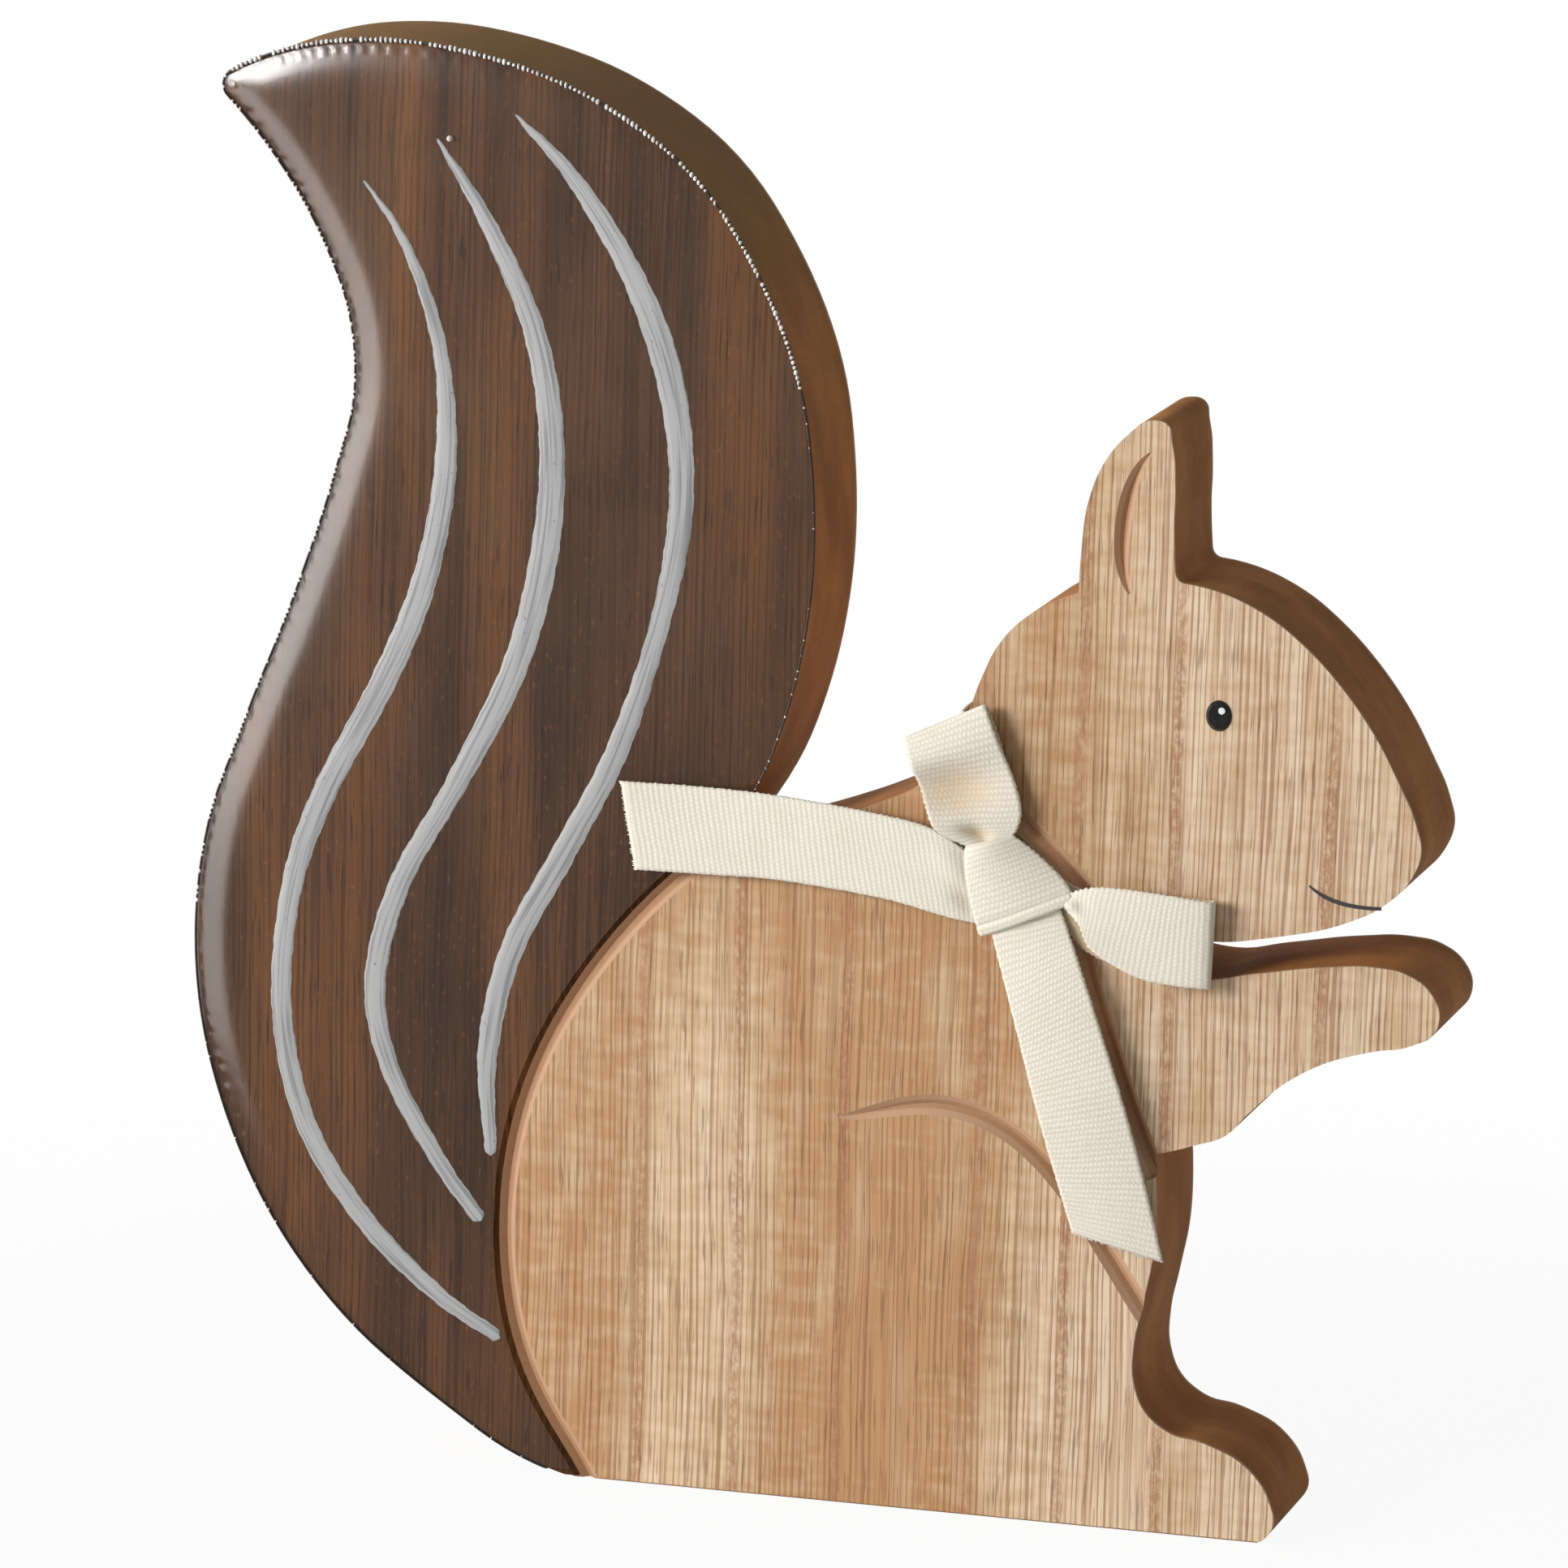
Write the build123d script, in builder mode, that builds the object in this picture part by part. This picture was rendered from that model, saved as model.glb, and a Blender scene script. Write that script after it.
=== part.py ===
"""Free-standing squirrel ornament: a veneered board with a resin-coated tail and a ribbon at its neck."""

import os

from build123d import *

# Board: overall sizes seen from the front, and its layers
FIGURE_WIDTH = 159.3
FIGURE_HEIGHT = 180.0
BOARD_THICKNESS = 20.0
VENEER_THICKNESS = 0.6
VENEER_ARRIS = 0.3
TOE_RADIUS = 1.9
EAR_ROOT_RADIUS = 1.4

# Carved grooves: the full ones part the veneer, those of the haunch and the ear taper out
GROOVE_WIDTH = 2.8
GROOVE_DEPTH = 1.4
HAUNCH_GROOVE_WIDTH = 2.7
EAR_GROOVE_WIDTH = 2.0
FINE_GROOVE_DEPTH = 1.1

# Coat and paint
RESIN_THICKNESS = 1.3
RESIN_RIM_RADIUS = 1.0
RESIN_CORNER_RADIUS = 1.2
RESIN_LOWER_GAP = 1.0
PAINT_THICKNESS = 0.12
OUTER_STRIPE_WIDTH = 3.2
MIDDLE_STRIPE_WIDTH = 3.4
INNER_STRIPE_WIDTH = 3.3
EYE_WIDTH = 3.2
EYE_HEIGHT = 3.8
EYE_RISE = 0.5
EYE_ROUND = 0.4
GLINT_DIAMETER = 0.85
MOUTH_WIDTH = 0.5

# Ribbon: cotton tape, and how far its parts stand off the face
TAPE_WIDTH = 10.4
TAPE_THICKNESS = 0.6
TAPE_CLEARANCE = 0.25
KNOT_THICKNESS = 3.2
KNOT_ROUND = 0.9
LOOP_DEPTH = 3.6
LOOP_END_RADIUS = 1.3
LEFT_TAIL_LIFT = 2.6
LOWER_TAIL_LIFT = 3.2
GATHER_WIDTH = 1.4

# Every cut runs this far past the surface that it opens
OVERRUN = 2.0

CORE_THICKNESS = BOARD_THICKNESS - 2 * VENEER_THICKNESS
CORE_LEVEL = CORE_THICKNESS / 2
FRONT_LEVEL = BOARD_THICKNESS / 2
COAT_LEVEL = FRONT_LEVEL + RESIN_THICKNESS

# Outline of the figure, as shares of its width, from the middle of the base, and of its height
FOOT_SHARES = [(0.284, 0.011), (0.280, 0.033), (0.261, 0.054), (0.229, 0.067), (0.199, 0.073), (0.180, 0.086),
               (0.170, 0.108), (0.170, 0.133), (0.176, 0.161), (0.183, 0.197), (0.184, 0.233), (0.181, 0.267)]
ARM_SHARES = [(0.181, 0.267), (0.213, 0.276), (0.236, 0.284), (0.255, 0.302), (0.280, 0.323), (0.311, 0.340),
              (0.347, 0.351), (0.380, 0.358), (0.397, 0.367), (0.401, 0.380), (0.392, 0.397), (0.374, 0.407),
              (0.350, 0.410), (0.308, 0.407), (0.257, 0.399), (0.213, 0.392), (0.173, 0.399), (0.141, 0.420),
              (0.121, 0.438)]
SLIT_END_SHARES = (0.120, 0.444)
HEAD_SHARES = [(0.126, 0.447), (0.166, 0.428), (0.217, 0.419), (0.274, 0.426), (0.320, 0.437), (0.353, 0.452),
               (0.374, 0.471), (0.382, 0.491), (0.377, 0.511), (0.362, 0.539), (0.345, 0.566), (0.321, 0.595),
               (0.293, 0.621), (0.257, 0.645), (0.220, 0.659), (0.184, 0.664)]
EAR_SHARES = [(0.184, 0.664), (0.181, 0.700), (0.181, 0.728), (0.178, 0.756), (0.172, 0.772), (0.159, 0.773),
              (0.142, 0.762), (0.124, 0.741), (0.113, 0.714), (0.109, 0.682), (0.108, 0.652)]
NAPE_SHARES = [(0.108, 0.652), (0.083, 0.642), (0.062, 0.629), (0.045, 0.611), (0.033, 0.588), (0.023, 0.563),
               (0.010, 0.537), (-0.013, 0.512), (-0.054, 0.493), (-0.107, 0.474), (-0.178, 0.454)]
TAIL_BACK_SHARES = [(-0.178, 0.454), (-0.145, 0.498), (-0.119, 0.560), (-0.105, 0.628), (-0.104, 0.706),
                    (-0.117, 0.781), (-0.151, 0.853), (-0.205, 0.919), (-0.282, 0.966), (-0.370, 0.992),
                    (-0.455, 1.000), (-0.521, 0.993), (-0.566, 0.979), (-0.579, 0.973)]
TAIL_FRONT_SHARES = [(-0.583, 0.956), (-0.540, 0.913), (-0.503, 0.861), (-0.480, 0.809), (-0.475, 0.756),
                     (-0.490, 0.698), (-0.522, 0.610), (-0.561, 0.520), (-0.590, 0.444), (-0.599, 0.378),
                     (-0.593, 0.307), (-0.571, 0.238), (-0.531, 0.167), (-0.471, 0.102), (-0.395, 0.050),
                     (-0.314, 0.009), (-0.279, 0.000)]

# Carved lines, in the same shares
TAIL_GROOVE_SHARES = [(-0.146, 0.476), (-0.179, 0.454), (-0.227, 0.415), (-0.282, 0.352), (-0.318, 0.291),
                      (-0.337, 0.227), (-0.341, 0.172), (-0.334, 0.117), (-0.310, 0.059), (-0.273, 0.004),
                      (-0.264, -0.009)]
NECK_GROOVE_SHARES = [(-0.004, 0.542), (0.031, 0.517), (0.066, 0.492), (0.097, 0.469), (0.126, 0.440)]
ARM_GROOVE_SHARES = [(0.126, 0.446), (0.119, 0.414), (0.127, 0.381), (0.142, 0.344), (0.159, 0.303),
                     (0.178, 0.263), (0.184, 0.252)]
HAUNCH_GROOVE_SHARES = [(-0.072, 0.275), (-0.031, 0.284), (0.014, 0.288), (0.051, 0.281), (0.089, 0.259),
                        (0.126, 0.222), (0.152, 0.188), (0.178, 0.156), (0.187, 0.144)]
EAR_GROOVE_SHARES = [(0.161, 0.751), (0.148, 0.731), (0.141, 0.700), (0.141, 0.676), (0.148, 0.654)]
EVEN_TAPER_SHARES = [1.0] * 9
HAUNCH_TAPER_SHARES = [0.12, 0.88, 1.0, 1.0, 1.0, 1.0, 1.0]
EAR_TAPER_SHARES = [0.20, 0.85, 1.0, 0.85, 0.20]

# Painted strokes, in the same shares, from their pointed tops down
OUTER_STRIPE_SHARES = [(-0.471, 0.902), (-0.441, 0.868), (-0.415, 0.817), (-0.401, 0.761), (-0.401, 0.694),
                       (-0.418, 0.621), (-0.449, 0.553), (-0.495, 0.472), (-0.521, 0.402), (-0.527, 0.317),
                       (-0.506, 0.237), (-0.456, 0.171), (-0.395, 0.123), (-0.342, 0.095)]
MIDDLE_STRIPE_SHARES = [(-0.412, 0.934), (-0.370, 0.878), (-0.331, 0.806), (-0.315, 0.733), (-0.318, 0.656),
                        (-0.341, 0.572), (-0.388, 0.485), (-0.431, 0.414), (-0.451, 0.342), (-0.437, 0.281),
                        (-0.396, 0.219), (-0.360, 0.178)]
INNER_STRIPE_SHARES = [(-0.349, 0.954), (-0.300, 0.911), (-0.250, 0.844), (-0.219, 0.772), (-0.210, 0.694),
                       (-0.224, 0.611), (-0.256, 0.520), (-0.297, 0.446), (-0.339, 0.373), (-0.357, 0.298),
                       (-0.353, 0.225)]
OUTER_TAPER_SHARES = [0.07, 0.58, 0.92, 1.03, 0.96, 0.82, 0.84, 0.80, 0.30]
MIDDLE_TAPER_SHARES = [0.07, 0.77, 0.95, 1.07, 0.93, 0.78, 0.83, 0.72, 0.32]
INNER_TAPER_SHARES = [0.07, 0.80, 1.07, 0.95, 0.75, 0.88, 0.94, 0.86, 0.30]
MOUTH_SHARES = [(0.296, 0.463), (0.309, 0.456), (0.325, 0.452), (0.353, 0.451)]
MOUTH_TAPER_SHARES = [0.35, 0.9, 1.0, 0.9, 0.8]
EYE_SHARES = (0.221, 0.575)
GLINT_SHARES = (0.14, 0.19)

# Bow, as shares of the tape's width from the middle of the knot, which the figure's shares place
KNOT_CENTRE_SHARES = (0.067, 0.447)
KNOT_SHARES = [(-0.64, 0.40), (-0.03, 0.625), (0.69, -0.01), (0.48, -0.22), (-0.42, -0.585), (-0.52, -0.48)]
LEFT_TAIL_SHARES = [(-0.68, 0.38), (-1.09, 0.63), (-2.00, 0.80), (-2.98, 0.885), (-4.84, 0.913),
                    (-4.64, -0.144), (-2.86, -0.135), (-1.45, -0.27), (-0.56, -0.46)]
LOWER_TAIL_SHARES = [(-0.32, -0.585), (0.46, -0.265), (0.80, -0.93), (1.913, -4.375), (1.087, -4.18),
                     (0.817, -4.106), (0.067, -1.51)]
UPPER_LOOP_SHARES = [(-0.04, 0.67), (0.02, 0.856), (-0.01, 1.135), (-0.394, 2.183), (-1.346, 1.692),
                     (-1.18, 1.26), (-0.97, 0.74), (-0.61, 0.46)]
RIGHT_LOOP_SHARES = [(0.75, -0.04), (1.01, 0.087), (2.42, 0.06), (2.375, -0.98), (1.44, -0.885),
                     (0.87, -0.70), (0.62, -0.30)]
BAND_FRONT_SHARES = [(-0.009, 0.520), (0.021, 0.565), (0.053, 0.481), (0.134, 0.441), (0.129, 0.432),
                     (0.038, 0.442)]
BAND_BACK_SHARES = [(-0.009, 0.520), (0.021, 0.565), (0.134, 0.441), (0.129, 0.432)]
BAND_NAPE_SHARES = [(0.024, 0.565), (0.016, 0.549), (0.005, 0.531), (-0.007, 0.518)]
BAND_SLIT_SHARES = (0.1315, 0.4365)
BAND_OUT_SHARES = (-0.71, 0.71)


def spot(shares):
    """Give the point of the front view at a share of the figure's width and one of its height."""
    return (shares[0] * FIGURE_WIDTH, shares[1] * FIGURE_HEIGHT)


def spots(table):
    """Give the front-view points of a table of shares."""
    return [spot(shares) for shares in table]


def bow_spots(table):
    """Give the front-view points of a table of shares of the tape's width round the knot's middle."""
    centre_x, centre_z = spot(KNOT_CENTRE_SHARES)
    return [(centre_x + x * TAPE_WIDTH, centre_z + z * TAPE_WIDTH) for x, z in table]


def front_plane(level):
    """Give the plane parallel to the front face at a distance before the board's middle."""
    return Plane.XZ.offset(level)


def arc_run(points):
    """Draw a smooth run through points: between each two, a pair of arcs that share the points' tangents."""
    places = [Vector(*point) for point in points]
    last = len(places) - 1
    tangents = []
    for index in range(last + 1):
        inner = min(max(index, 1), last - 1)
        before = places[inner] - places[inner - 1]
        after = places[inner + 1] - places[inner]
        tangent = (before.normalized() / before.length + after.normalized() / after.length).normalized()
        if index != inner:
            chord = (before if index < inner else after).normalized()
            tangent = chord * (2 * chord.dot(tangent)) - tangent
        tangents.append(tangent)
    for start, end, leaving, arriving in zip(places, places[1:], tangents, tangents[1:]):
        chord = end - start
        along = chord.dot(leaving + arriving)
        bend = 2 * (1 - leaving.dot(arriving))
        reach = ((along**2 + bend * chord.dot(chord)) ** 0.5 - along) / bend
        first = start + leaving * reach
        second = end - arriving * reach
        middle = (first + second) / 2
        TangentArc(start, middle, tangent=leaving)
        TangentArc(middle, end, tangent=second - first)


def groove_cutter(table, width, depth, taper_shares):
    """Make the V-shaped solid that carves one line into the front face."""
    path = Spline(*[(x, -FRONT_LEVEL, z) for x, z in spots(table)])
    top_height = OVERRUN
    with BuildPart() as cutter:
        for index, taper in enumerate(taper_shares):
            station = index / (len(taper_shares) - 1)
            tangent = path % station
            across = Vector(0, -1, 0).cross(tangent)
            half_top = taper * width / 2 * (taper * depth + top_height) / (taper * depth)
            with BuildSketch(Plane(path @ station, x_dir=across, z_dir=tangent)):
                Polygon((-half_top, top_height), (half_top, top_height), (0, -taper * depth), align=None)
        loft()
    return cutter.part


def stroke_edges(table, width, taper_shares):
    """Give the two edges of a brushed stroke, as points either side of its middle line."""
    path = Spline(*spots(table))
    left = []
    right = []
    for index, taper in enumerate(taper_shares):
        station = index / (len(taper_shares) - 1)
        middle = path @ station
        tangent = path % station
        out = Vector(-tangent.Y, tangent.X, 0) * (taper * width / 2)
        left.append(middle + out)
        right.append(middle - out)
    return left, right


def stroke(table, width, taper_shares):
    """Make one painted stroke on the front face."""
    left, right = stroke_edges(table, width, taper_shares)
    with BuildPart() as paint:
        with BuildSketch(front_plane(FRONT_LEVEL)):
            with BuildLine():
                arc_run(left)
                Line(left[-1], right[-1])
                arc_run(right)
                Line(left[0], right[0])
            make_face()
        extrude(amount=PAINT_THICKNESS)
    return paint.part


# Figure: the outline that the core and both veneers share
foot_points = spots(FOOT_SHARES)
arm_points = spots(ARM_SHARES)
head_points = spots(HEAD_SHARES)
ear_points = spots(EAR_SHARES)
nape_points = spots(NAPE_SHARES)
tail_back_points = spots(TAIL_BACK_SHARES)
tail_front_points = spots(TAIL_FRONT_SHARES)
tip_tangent = Vector(*tail_back_points[-1]) - Vector(*tail_back_points[-2])
heel_point = tail_front_points[-1]
toe_point = (foot_points[0][0] - TOE_RADIUS, 0)

with BuildSketch() as figure:
    with BuildLine():
        Line(heel_point, toe_point)
        arc_run([toe_point, *foot_points])
        arc_run(arm_points)
        ThreePointArc(arm_points[-1], spot(SLIT_END_SHARES), head_points[0])
        arc_run(head_points)
        arc_run(ear_points)
        arc_run(nape_points)
        arc_run(tail_back_points)
        TangentArc(tail_back_points[-1], tail_front_points[0], tangent=tip_tangent)
        arc_run(tail_front_points)
    make_face()
    ear_root = figure.vertices().sort_by_distance((*ear_points[0], 0))[0]
    fillet(ear_root, EAR_ROOT_RADIUS)

# Grooves: one cutter each, carved through the veneer into the core
tail_groove = groove_cutter(TAIL_GROOVE_SHARES, GROOVE_WIDTH, GROOVE_DEPTH, EVEN_TAPER_SHARES)
neck_groove = groove_cutter(NECK_GROOVE_SHARES, GROOVE_WIDTH, GROOVE_DEPTH, EVEN_TAPER_SHARES)
arm_groove = groove_cutter(ARM_GROOVE_SHARES, GROOVE_WIDTH, GROOVE_DEPTH, EVEN_TAPER_SHARES)
haunch_groove = groove_cutter(
    HAUNCH_GROOVE_SHARES, HAUNCH_GROOVE_WIDTH, FINE_GROOVE_DEPTH, HAUNCH_TAPER_SHARES
)
ear_groove = groove_cutter(EAR_GROOVE_SHARES, EAR_GROOVE_WIDTH, FINE_GROOVE_DEPTH, EAR_TAPER_SHARES)
grooves = [tail_groove, neck_groove, arm_groove, haunch_groove, ear_groove]

# Core: fibreboard, carved on its front
with BuildPart() as core_board:
    extrude(front_plane(CORE_LEVEL) * figure.sketch, amount=-CORE_THICKNESS)
    for groove in grooves:
        add(groove, mode=Mode.SUBTRACT)

# Front veneer: one sheet that the full grooves part into four
with BuildPart() as front_sheet:
    extrude(front_plane(CORE_LEVEL) * figure.sketch, amount=VENEER_THICKNESS)
    for groove in grooves:
        add(groove, mode=Mode.SUBTRACT)
    split(bisect_by=Plane.XY.offset(VENEER_ARRIS), keep=Keep.TOP)

sheets = front_sheet.solids().sort_by(Axis.X)
tail_sheet = sheets[0]
arm_sheet = sheets[-1]
head_sheet = (sheets - [tail_sheet, arm_sheet]).sort_by(Axis.Z)[-1]
body_sheet = (sheets - [tail_sheet, arm_sheet]).sort_by(Axis.Z)[0]

# Back veneer: one plain sheet
with BuildPart() as back_veneer:
    extrude(front_plane(-CORE_LEVEL) * figure.sketch, amount=-VENEER_THICKNESS)
    split(bisect_by=Plane.XY.offset(VENEER_ARRIS), keep=Keep.TOP)

# Tail paint and coat: the strokes lie on the veneer, and the coat flows over them
stripe_outer = stroke(OUTER_STRIPE_SHARES, OUTER_STRIPE_WIDTH, OUTER_TAPER_SHARES)
stripe_middle = stroke(MIDDLE_STRIPE_SHARES, MIDDLE_STRIPE_WIDTH, MIDDLE_TAPER_SHARES)
stripe_inner = stroke(INNER_STRIPE_SHARES, INNER_STRIPE_WIDTH, INNER_TAPER_SHARES)

with BuildPart() as resin_coat:
    extrude(tail_sheet.faces().sort_by(Axis.Y)[0], amount=RESIN_THICKNESS)
    split(bisect_by=Plane.XY.offset(RESIN_LOWER_GAP), keep=Keep.TOP)
    fillet(resin_coat.edges().filter_by(Axis.Y), RESIN_CORNER_RADIUS)
    rim = resin_coat.faces().sort_by(Axis.Y)[0].edges()
    fillet(rim, RESIN_RIM_RADIUS)
    for stripe in (stripe_outer, stripe_middle, stripe_inner):
        add(stripe, mode=Mode.SUBTRACT)

# Face: a raised paint eye with its glint, and the mouth's stroke
eye_x, eye_z = spot(EYE_SHARES)
with BuildPart() as eye:
    with BuildSketch(front_plane(FRONT_LEVEL)):
        with Locations((eye_x, eye_z)):
            Ellipse(EYE_WIDTH / 2, EYE_HEIGHT / 2)
    extrude(amount=EYE_RISE)
    chamfer(eye.faces().sort_by(Axis.Y)[0].edges(), EYE_ROUND)

with BuildPart() as eye_glint:
    with BuildSketch(front_plane(FRONT_LEVEL + EYE_RISE)):
        with Locations((eye_x + GLINT_SHARES[0] * EYE_WIDTH, eye_z + GLINT_SHARES[1] * EYE_HEIGHT)):
            Circle(GLINT_DIAMETER / 2)
    extrude(amount=PAINT_THICKNESS)

mouth_line = stroke(MOUTH_SHARES, MOUTH_WIDTH, MOUTH_TAPER_SHARES)

# Ribbon levels, before the board's middle
band_level = FRONT_LEVEL + TAPE_CLEARANCE
bow_level = band_level + TAPE_THICKNESS + TAPE_CLEARANCE
loop_level = bow_level + LOOP_DEPTH
tape_middle = bow_level + TAPE_THICKNESS / 2

# Neck band: tape over the nape, across the back and up through the slit under the chin
slit_x, slit_z = spot(BAND_SLIT_SHARES)
nape_shift = TAPE_CLEARANCE + TAPE_THICKNESS / 2
with BuildPart() as ribbon_neck_band:
    with BuildSketch(front_plane(band_level)):
        Polygon(*spots(BAND_FRONT_SHARES), align=None)
    extrude(amount=TAPE_THICKNESS)
    with BuildSketch(front_plane(-band_level)):
        Polygon(*spots(BAND_BACK_SHARES), align=None)
    extrude(amount=-TAPE_THICKNESS)
    with BuildSketch(front_plane(band_level + TAPE_THICKNESS)):
        with BuildLine():
            arc_run([(x + nape_shift * BAND_OUT_SHARES[0], z + nape_shift * BAND_OUT_SHARES[1])
                     for x, z in spots(BAND_NAPE_SHARES)])
        trace(line_width=TAPE_THICKNESS)
        with Locations((slit_x, slit_z)):
            Rectangle(GATHER_WIDTH, GATHER_WIDTH)
    extrude(amount=-2 * (band_level + TAPE_THICKNESS))

# Knot: the tape pulled tight over the crossing
with BuildPart() as ribbon_knot:
    with BuildSketch(front_plane(bow_level)):
        Polygon(*bow_spots(KNOT_SHARES), align=None)
    extrude(amount=KNOT_THICKNESS)
    fillet(ribbon_knot.faces().sort_by(Axis.Y)[0].edges(), KNOT_ROUND)

# Left tail: seen from above the tape bows towards the face, seen from the front it has its cut outline
left_tail_points = bow_spots(LEFT_TAIL_SHARES)
left_tail_end = min(x for x, z in left_tail_points)
left_tail_start = max(x for x, z in left_tail_points)
with BuildPart() as ribbon_left_tail:
    with BuildSketch():
        with BuildLine():
            ThreePointArc(
                (left_tail_end - OVERRUN, -(COAT_LEVEL + TAPE_CLEARANCE + TAPE_THICKNESS)),
                ((left_tail_end + left_tail_start) / 2, -(COAT_LEVEL + TAPE_CLEARANCE + TAPE_THICKNESS / 2)),
                (left_tail_start + OVERRUN, -(FRONT_LEVEL + LEFT_TAIL_LIFT)),
            )
        trace(line_width=TAPE_THICKNESS)
    extrude(amount=FIGURE_HEIGHT)
    with BuildSketch(front_plane(0)):
        Polygon(*left_tail_points, align=None)
    extrude(amount=2 * loop_level, mode=Mode.INTERSECT)

# Lower tail: hangs from the knot, bowed out from the body, cut at a slant
lower_tail_points = bow_spots(LOWER_TAIL_SHARES)
lower_tail_end = min(z for x, z in lower_tail_points)
lower_tail_start = max(z for x, z in lower_tail_points)
with BuildPart() as ribbon_lower_tail:
    with BuildSketch(Plane.YZ.offset(-FIGURE_WIDTH)):
        with BuildLine():
            ThreePointArc(
                (-(FRONT_LEVEL + TAPE_CLEARANCE + TAPE_THICKNESS), lower_tail_end - OVERRUN),
                (-(FRONT_LEVEL + LOWER_TAIL_LIFT), (lower_tail_end + lower_tail_start) / 2),
                (-tape_middle, lower_tail_start + OVERRUN),
            )
        trace(line_width=TAPE_THICKNESS)
    extrude(amount=2 * FIGURE_WIDTH)
    with BuildSketch(front_plane(0)):
        Polygon(*lower_tail_points, align=None)
    extrude(amount=2 * loop_level, mode=Mode.INTERSECT)

# Upper loop: the tape goes up in front, turns over at its end and comes back behind
upper_points = bow_spots(UPPER_LOOP_SHARES)
upper_start = min(z for x, z in upper_points)
upper_end = max(z for x, z in upper_points)
with BuildPart() as ribbon_upper_loop:
    with BuildSketch(Plane.YZ.offset(-FIGURE_WIDTH)):
        with BuildLine():
            back_run = Line((-bow_level, upper_start - OVERRUN), (-bow_level, upper_end - LOOP_END_RADIUS))
            turn = RadiusArc(
                back_run @ 1,
                (-bow_level - 2 * LOOP_END_RADIUS, upper_end - LOOP_END_RADIUS),
                -LOOP_END_RADIUS,
            )
            ThreePointArc(
                turn @ 1,
                (-loop_level, (upper_start + upper_end) / 2),
                (-bow_level - 2 * TAPE_THICKNESS - TAPE_CLEARANCE, upper_start - OVERRUN),
            )
            Line((-bow_level - 2 * TAPE_THICKNESS - TAPE_CLEARANCE, upper_start - OVERRUN), back_run @ 0)
        make_face()
        offset(amount=-TAPE_THICKNESS, mode=Mode.SUBTRACT)
    extrude(amount=2 * FIGURE_WIDTH)
    with BuildSketch(front_plane(0)):
        Polygon(*upper_points, align=None)
    extrude(amount=2 * loop_level, mode=Mode.INTERSECT)

# Right loop: the same, lying level
right_points = bow_spots(RIGHT_LOOP_SHARES)
right_start = min(x for x, z in right_points)
right_end = max(x for x, z in right_points)
with BuildPart() as ribbon_right_loop:
    with BuildSketch():
        with BuildLine():
            back_run = Line((right_start - OVERRUN, -bow_level), (right_end - LOOP_END_RADIUS, -bow_level))
            turn = RadiusArc(
                back_run @ 1,
                (right_end - LOOP_END_RADIUS, -bow_level - 2 * LOOP_END_RADIUS),
                LOOP_END_RADIUS,
            )
            ThreePointArc(
                turn @ 1,
                ((right_start + right_end) / 2, -loop_level),
                (right_start - OVERRUN, -bow_level - 2 * TAPE_THICKNESS - TAPE_CLEARANCE),
            )
            Line((right_start - OVERRUN, -bow_level - 2 * TAPE_THICKNESS - TAPE_CLEARANCE), back_run @ 0)
        make_face()
        offset(amount=-TAPE_THICKNESS, mode=Mode.SUBTRACT)
    extrude(amount=FIGURE_HEIGHT)
    with BuildSketch(front_plane(0)):
        Polygon(*right_points, align=None)
    extrude(amount=2 * loop_level, mode=Mode.INTERSECT)

pieces = {
    "core_board": core_board.part,
    "tail_veneer": Part(tail_sheet.wrapped),
    "body_veneer": Part(body_sheet.wrapped),
    "head_veneer": Part(head_sheet.wrapped),
    "arm_veneer": Part(arm_sheet.wrapped),
    "back_veneer": back_veneer.part,
    "resin_coat": resin_coat.part,
    "stripe_outer": stripe_outer,
    "stripe_middle": stripe_middle,
    "stripe_inner": stripe_inner,
    "eye": eye.part,
    "eye_glint": eye_glint.part,
    "mouth_line": mouth_line,
    "ribbon_neck_band": ribbon_neck_band.part,
    "ribbon_knot": ribbon_knot.part,
    "ribbon_left_tail": ribbon_left_tail.part,
    "ribbon_lower_tail": ribbon_lower_tail.part,
    "ribbon_upper_loop": ribbon_upper_loop.part,
    "ribbon_right_loop": ribbon_right_loop.part,
}

os.makedirs("parts", exist_ok=True)
for name, piece in pieces.items():
    piece.label = name
    export_step(piece, f"parts/{name}.step")
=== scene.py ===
"""Dresses the squirrel: veneered board, coated striped tail, painted face and tied cotton tape."""

import logging
import math
from dataclasses import dataclass
from enum import Enum
from typing import Any, Iterable, Sequence

import bpy
from mathutils import Matrix, Vector
from mathutils.geometry import delaunay_2d_cdt
from mathutils.kdtree import KDTree


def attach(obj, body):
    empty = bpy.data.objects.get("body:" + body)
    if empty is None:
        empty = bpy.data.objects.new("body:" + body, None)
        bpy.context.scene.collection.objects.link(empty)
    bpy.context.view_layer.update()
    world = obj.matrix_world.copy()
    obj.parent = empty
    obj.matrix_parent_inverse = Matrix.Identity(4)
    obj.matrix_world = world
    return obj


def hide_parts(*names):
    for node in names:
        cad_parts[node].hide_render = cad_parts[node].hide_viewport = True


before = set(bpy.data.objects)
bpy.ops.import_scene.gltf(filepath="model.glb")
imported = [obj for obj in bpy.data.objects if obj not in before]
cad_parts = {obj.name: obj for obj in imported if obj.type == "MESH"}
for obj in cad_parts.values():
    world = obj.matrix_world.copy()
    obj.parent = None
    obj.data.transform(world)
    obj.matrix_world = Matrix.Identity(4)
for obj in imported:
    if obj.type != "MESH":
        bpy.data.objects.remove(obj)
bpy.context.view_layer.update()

LOG = logging.getLogger("squirrel")
MM = 0.001
LAY_MM = 100.0
BODY = "root"
FACE_Y = -10.0

Point = tuple[float, float, float]
Colour = tuple[float, float, float]


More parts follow.
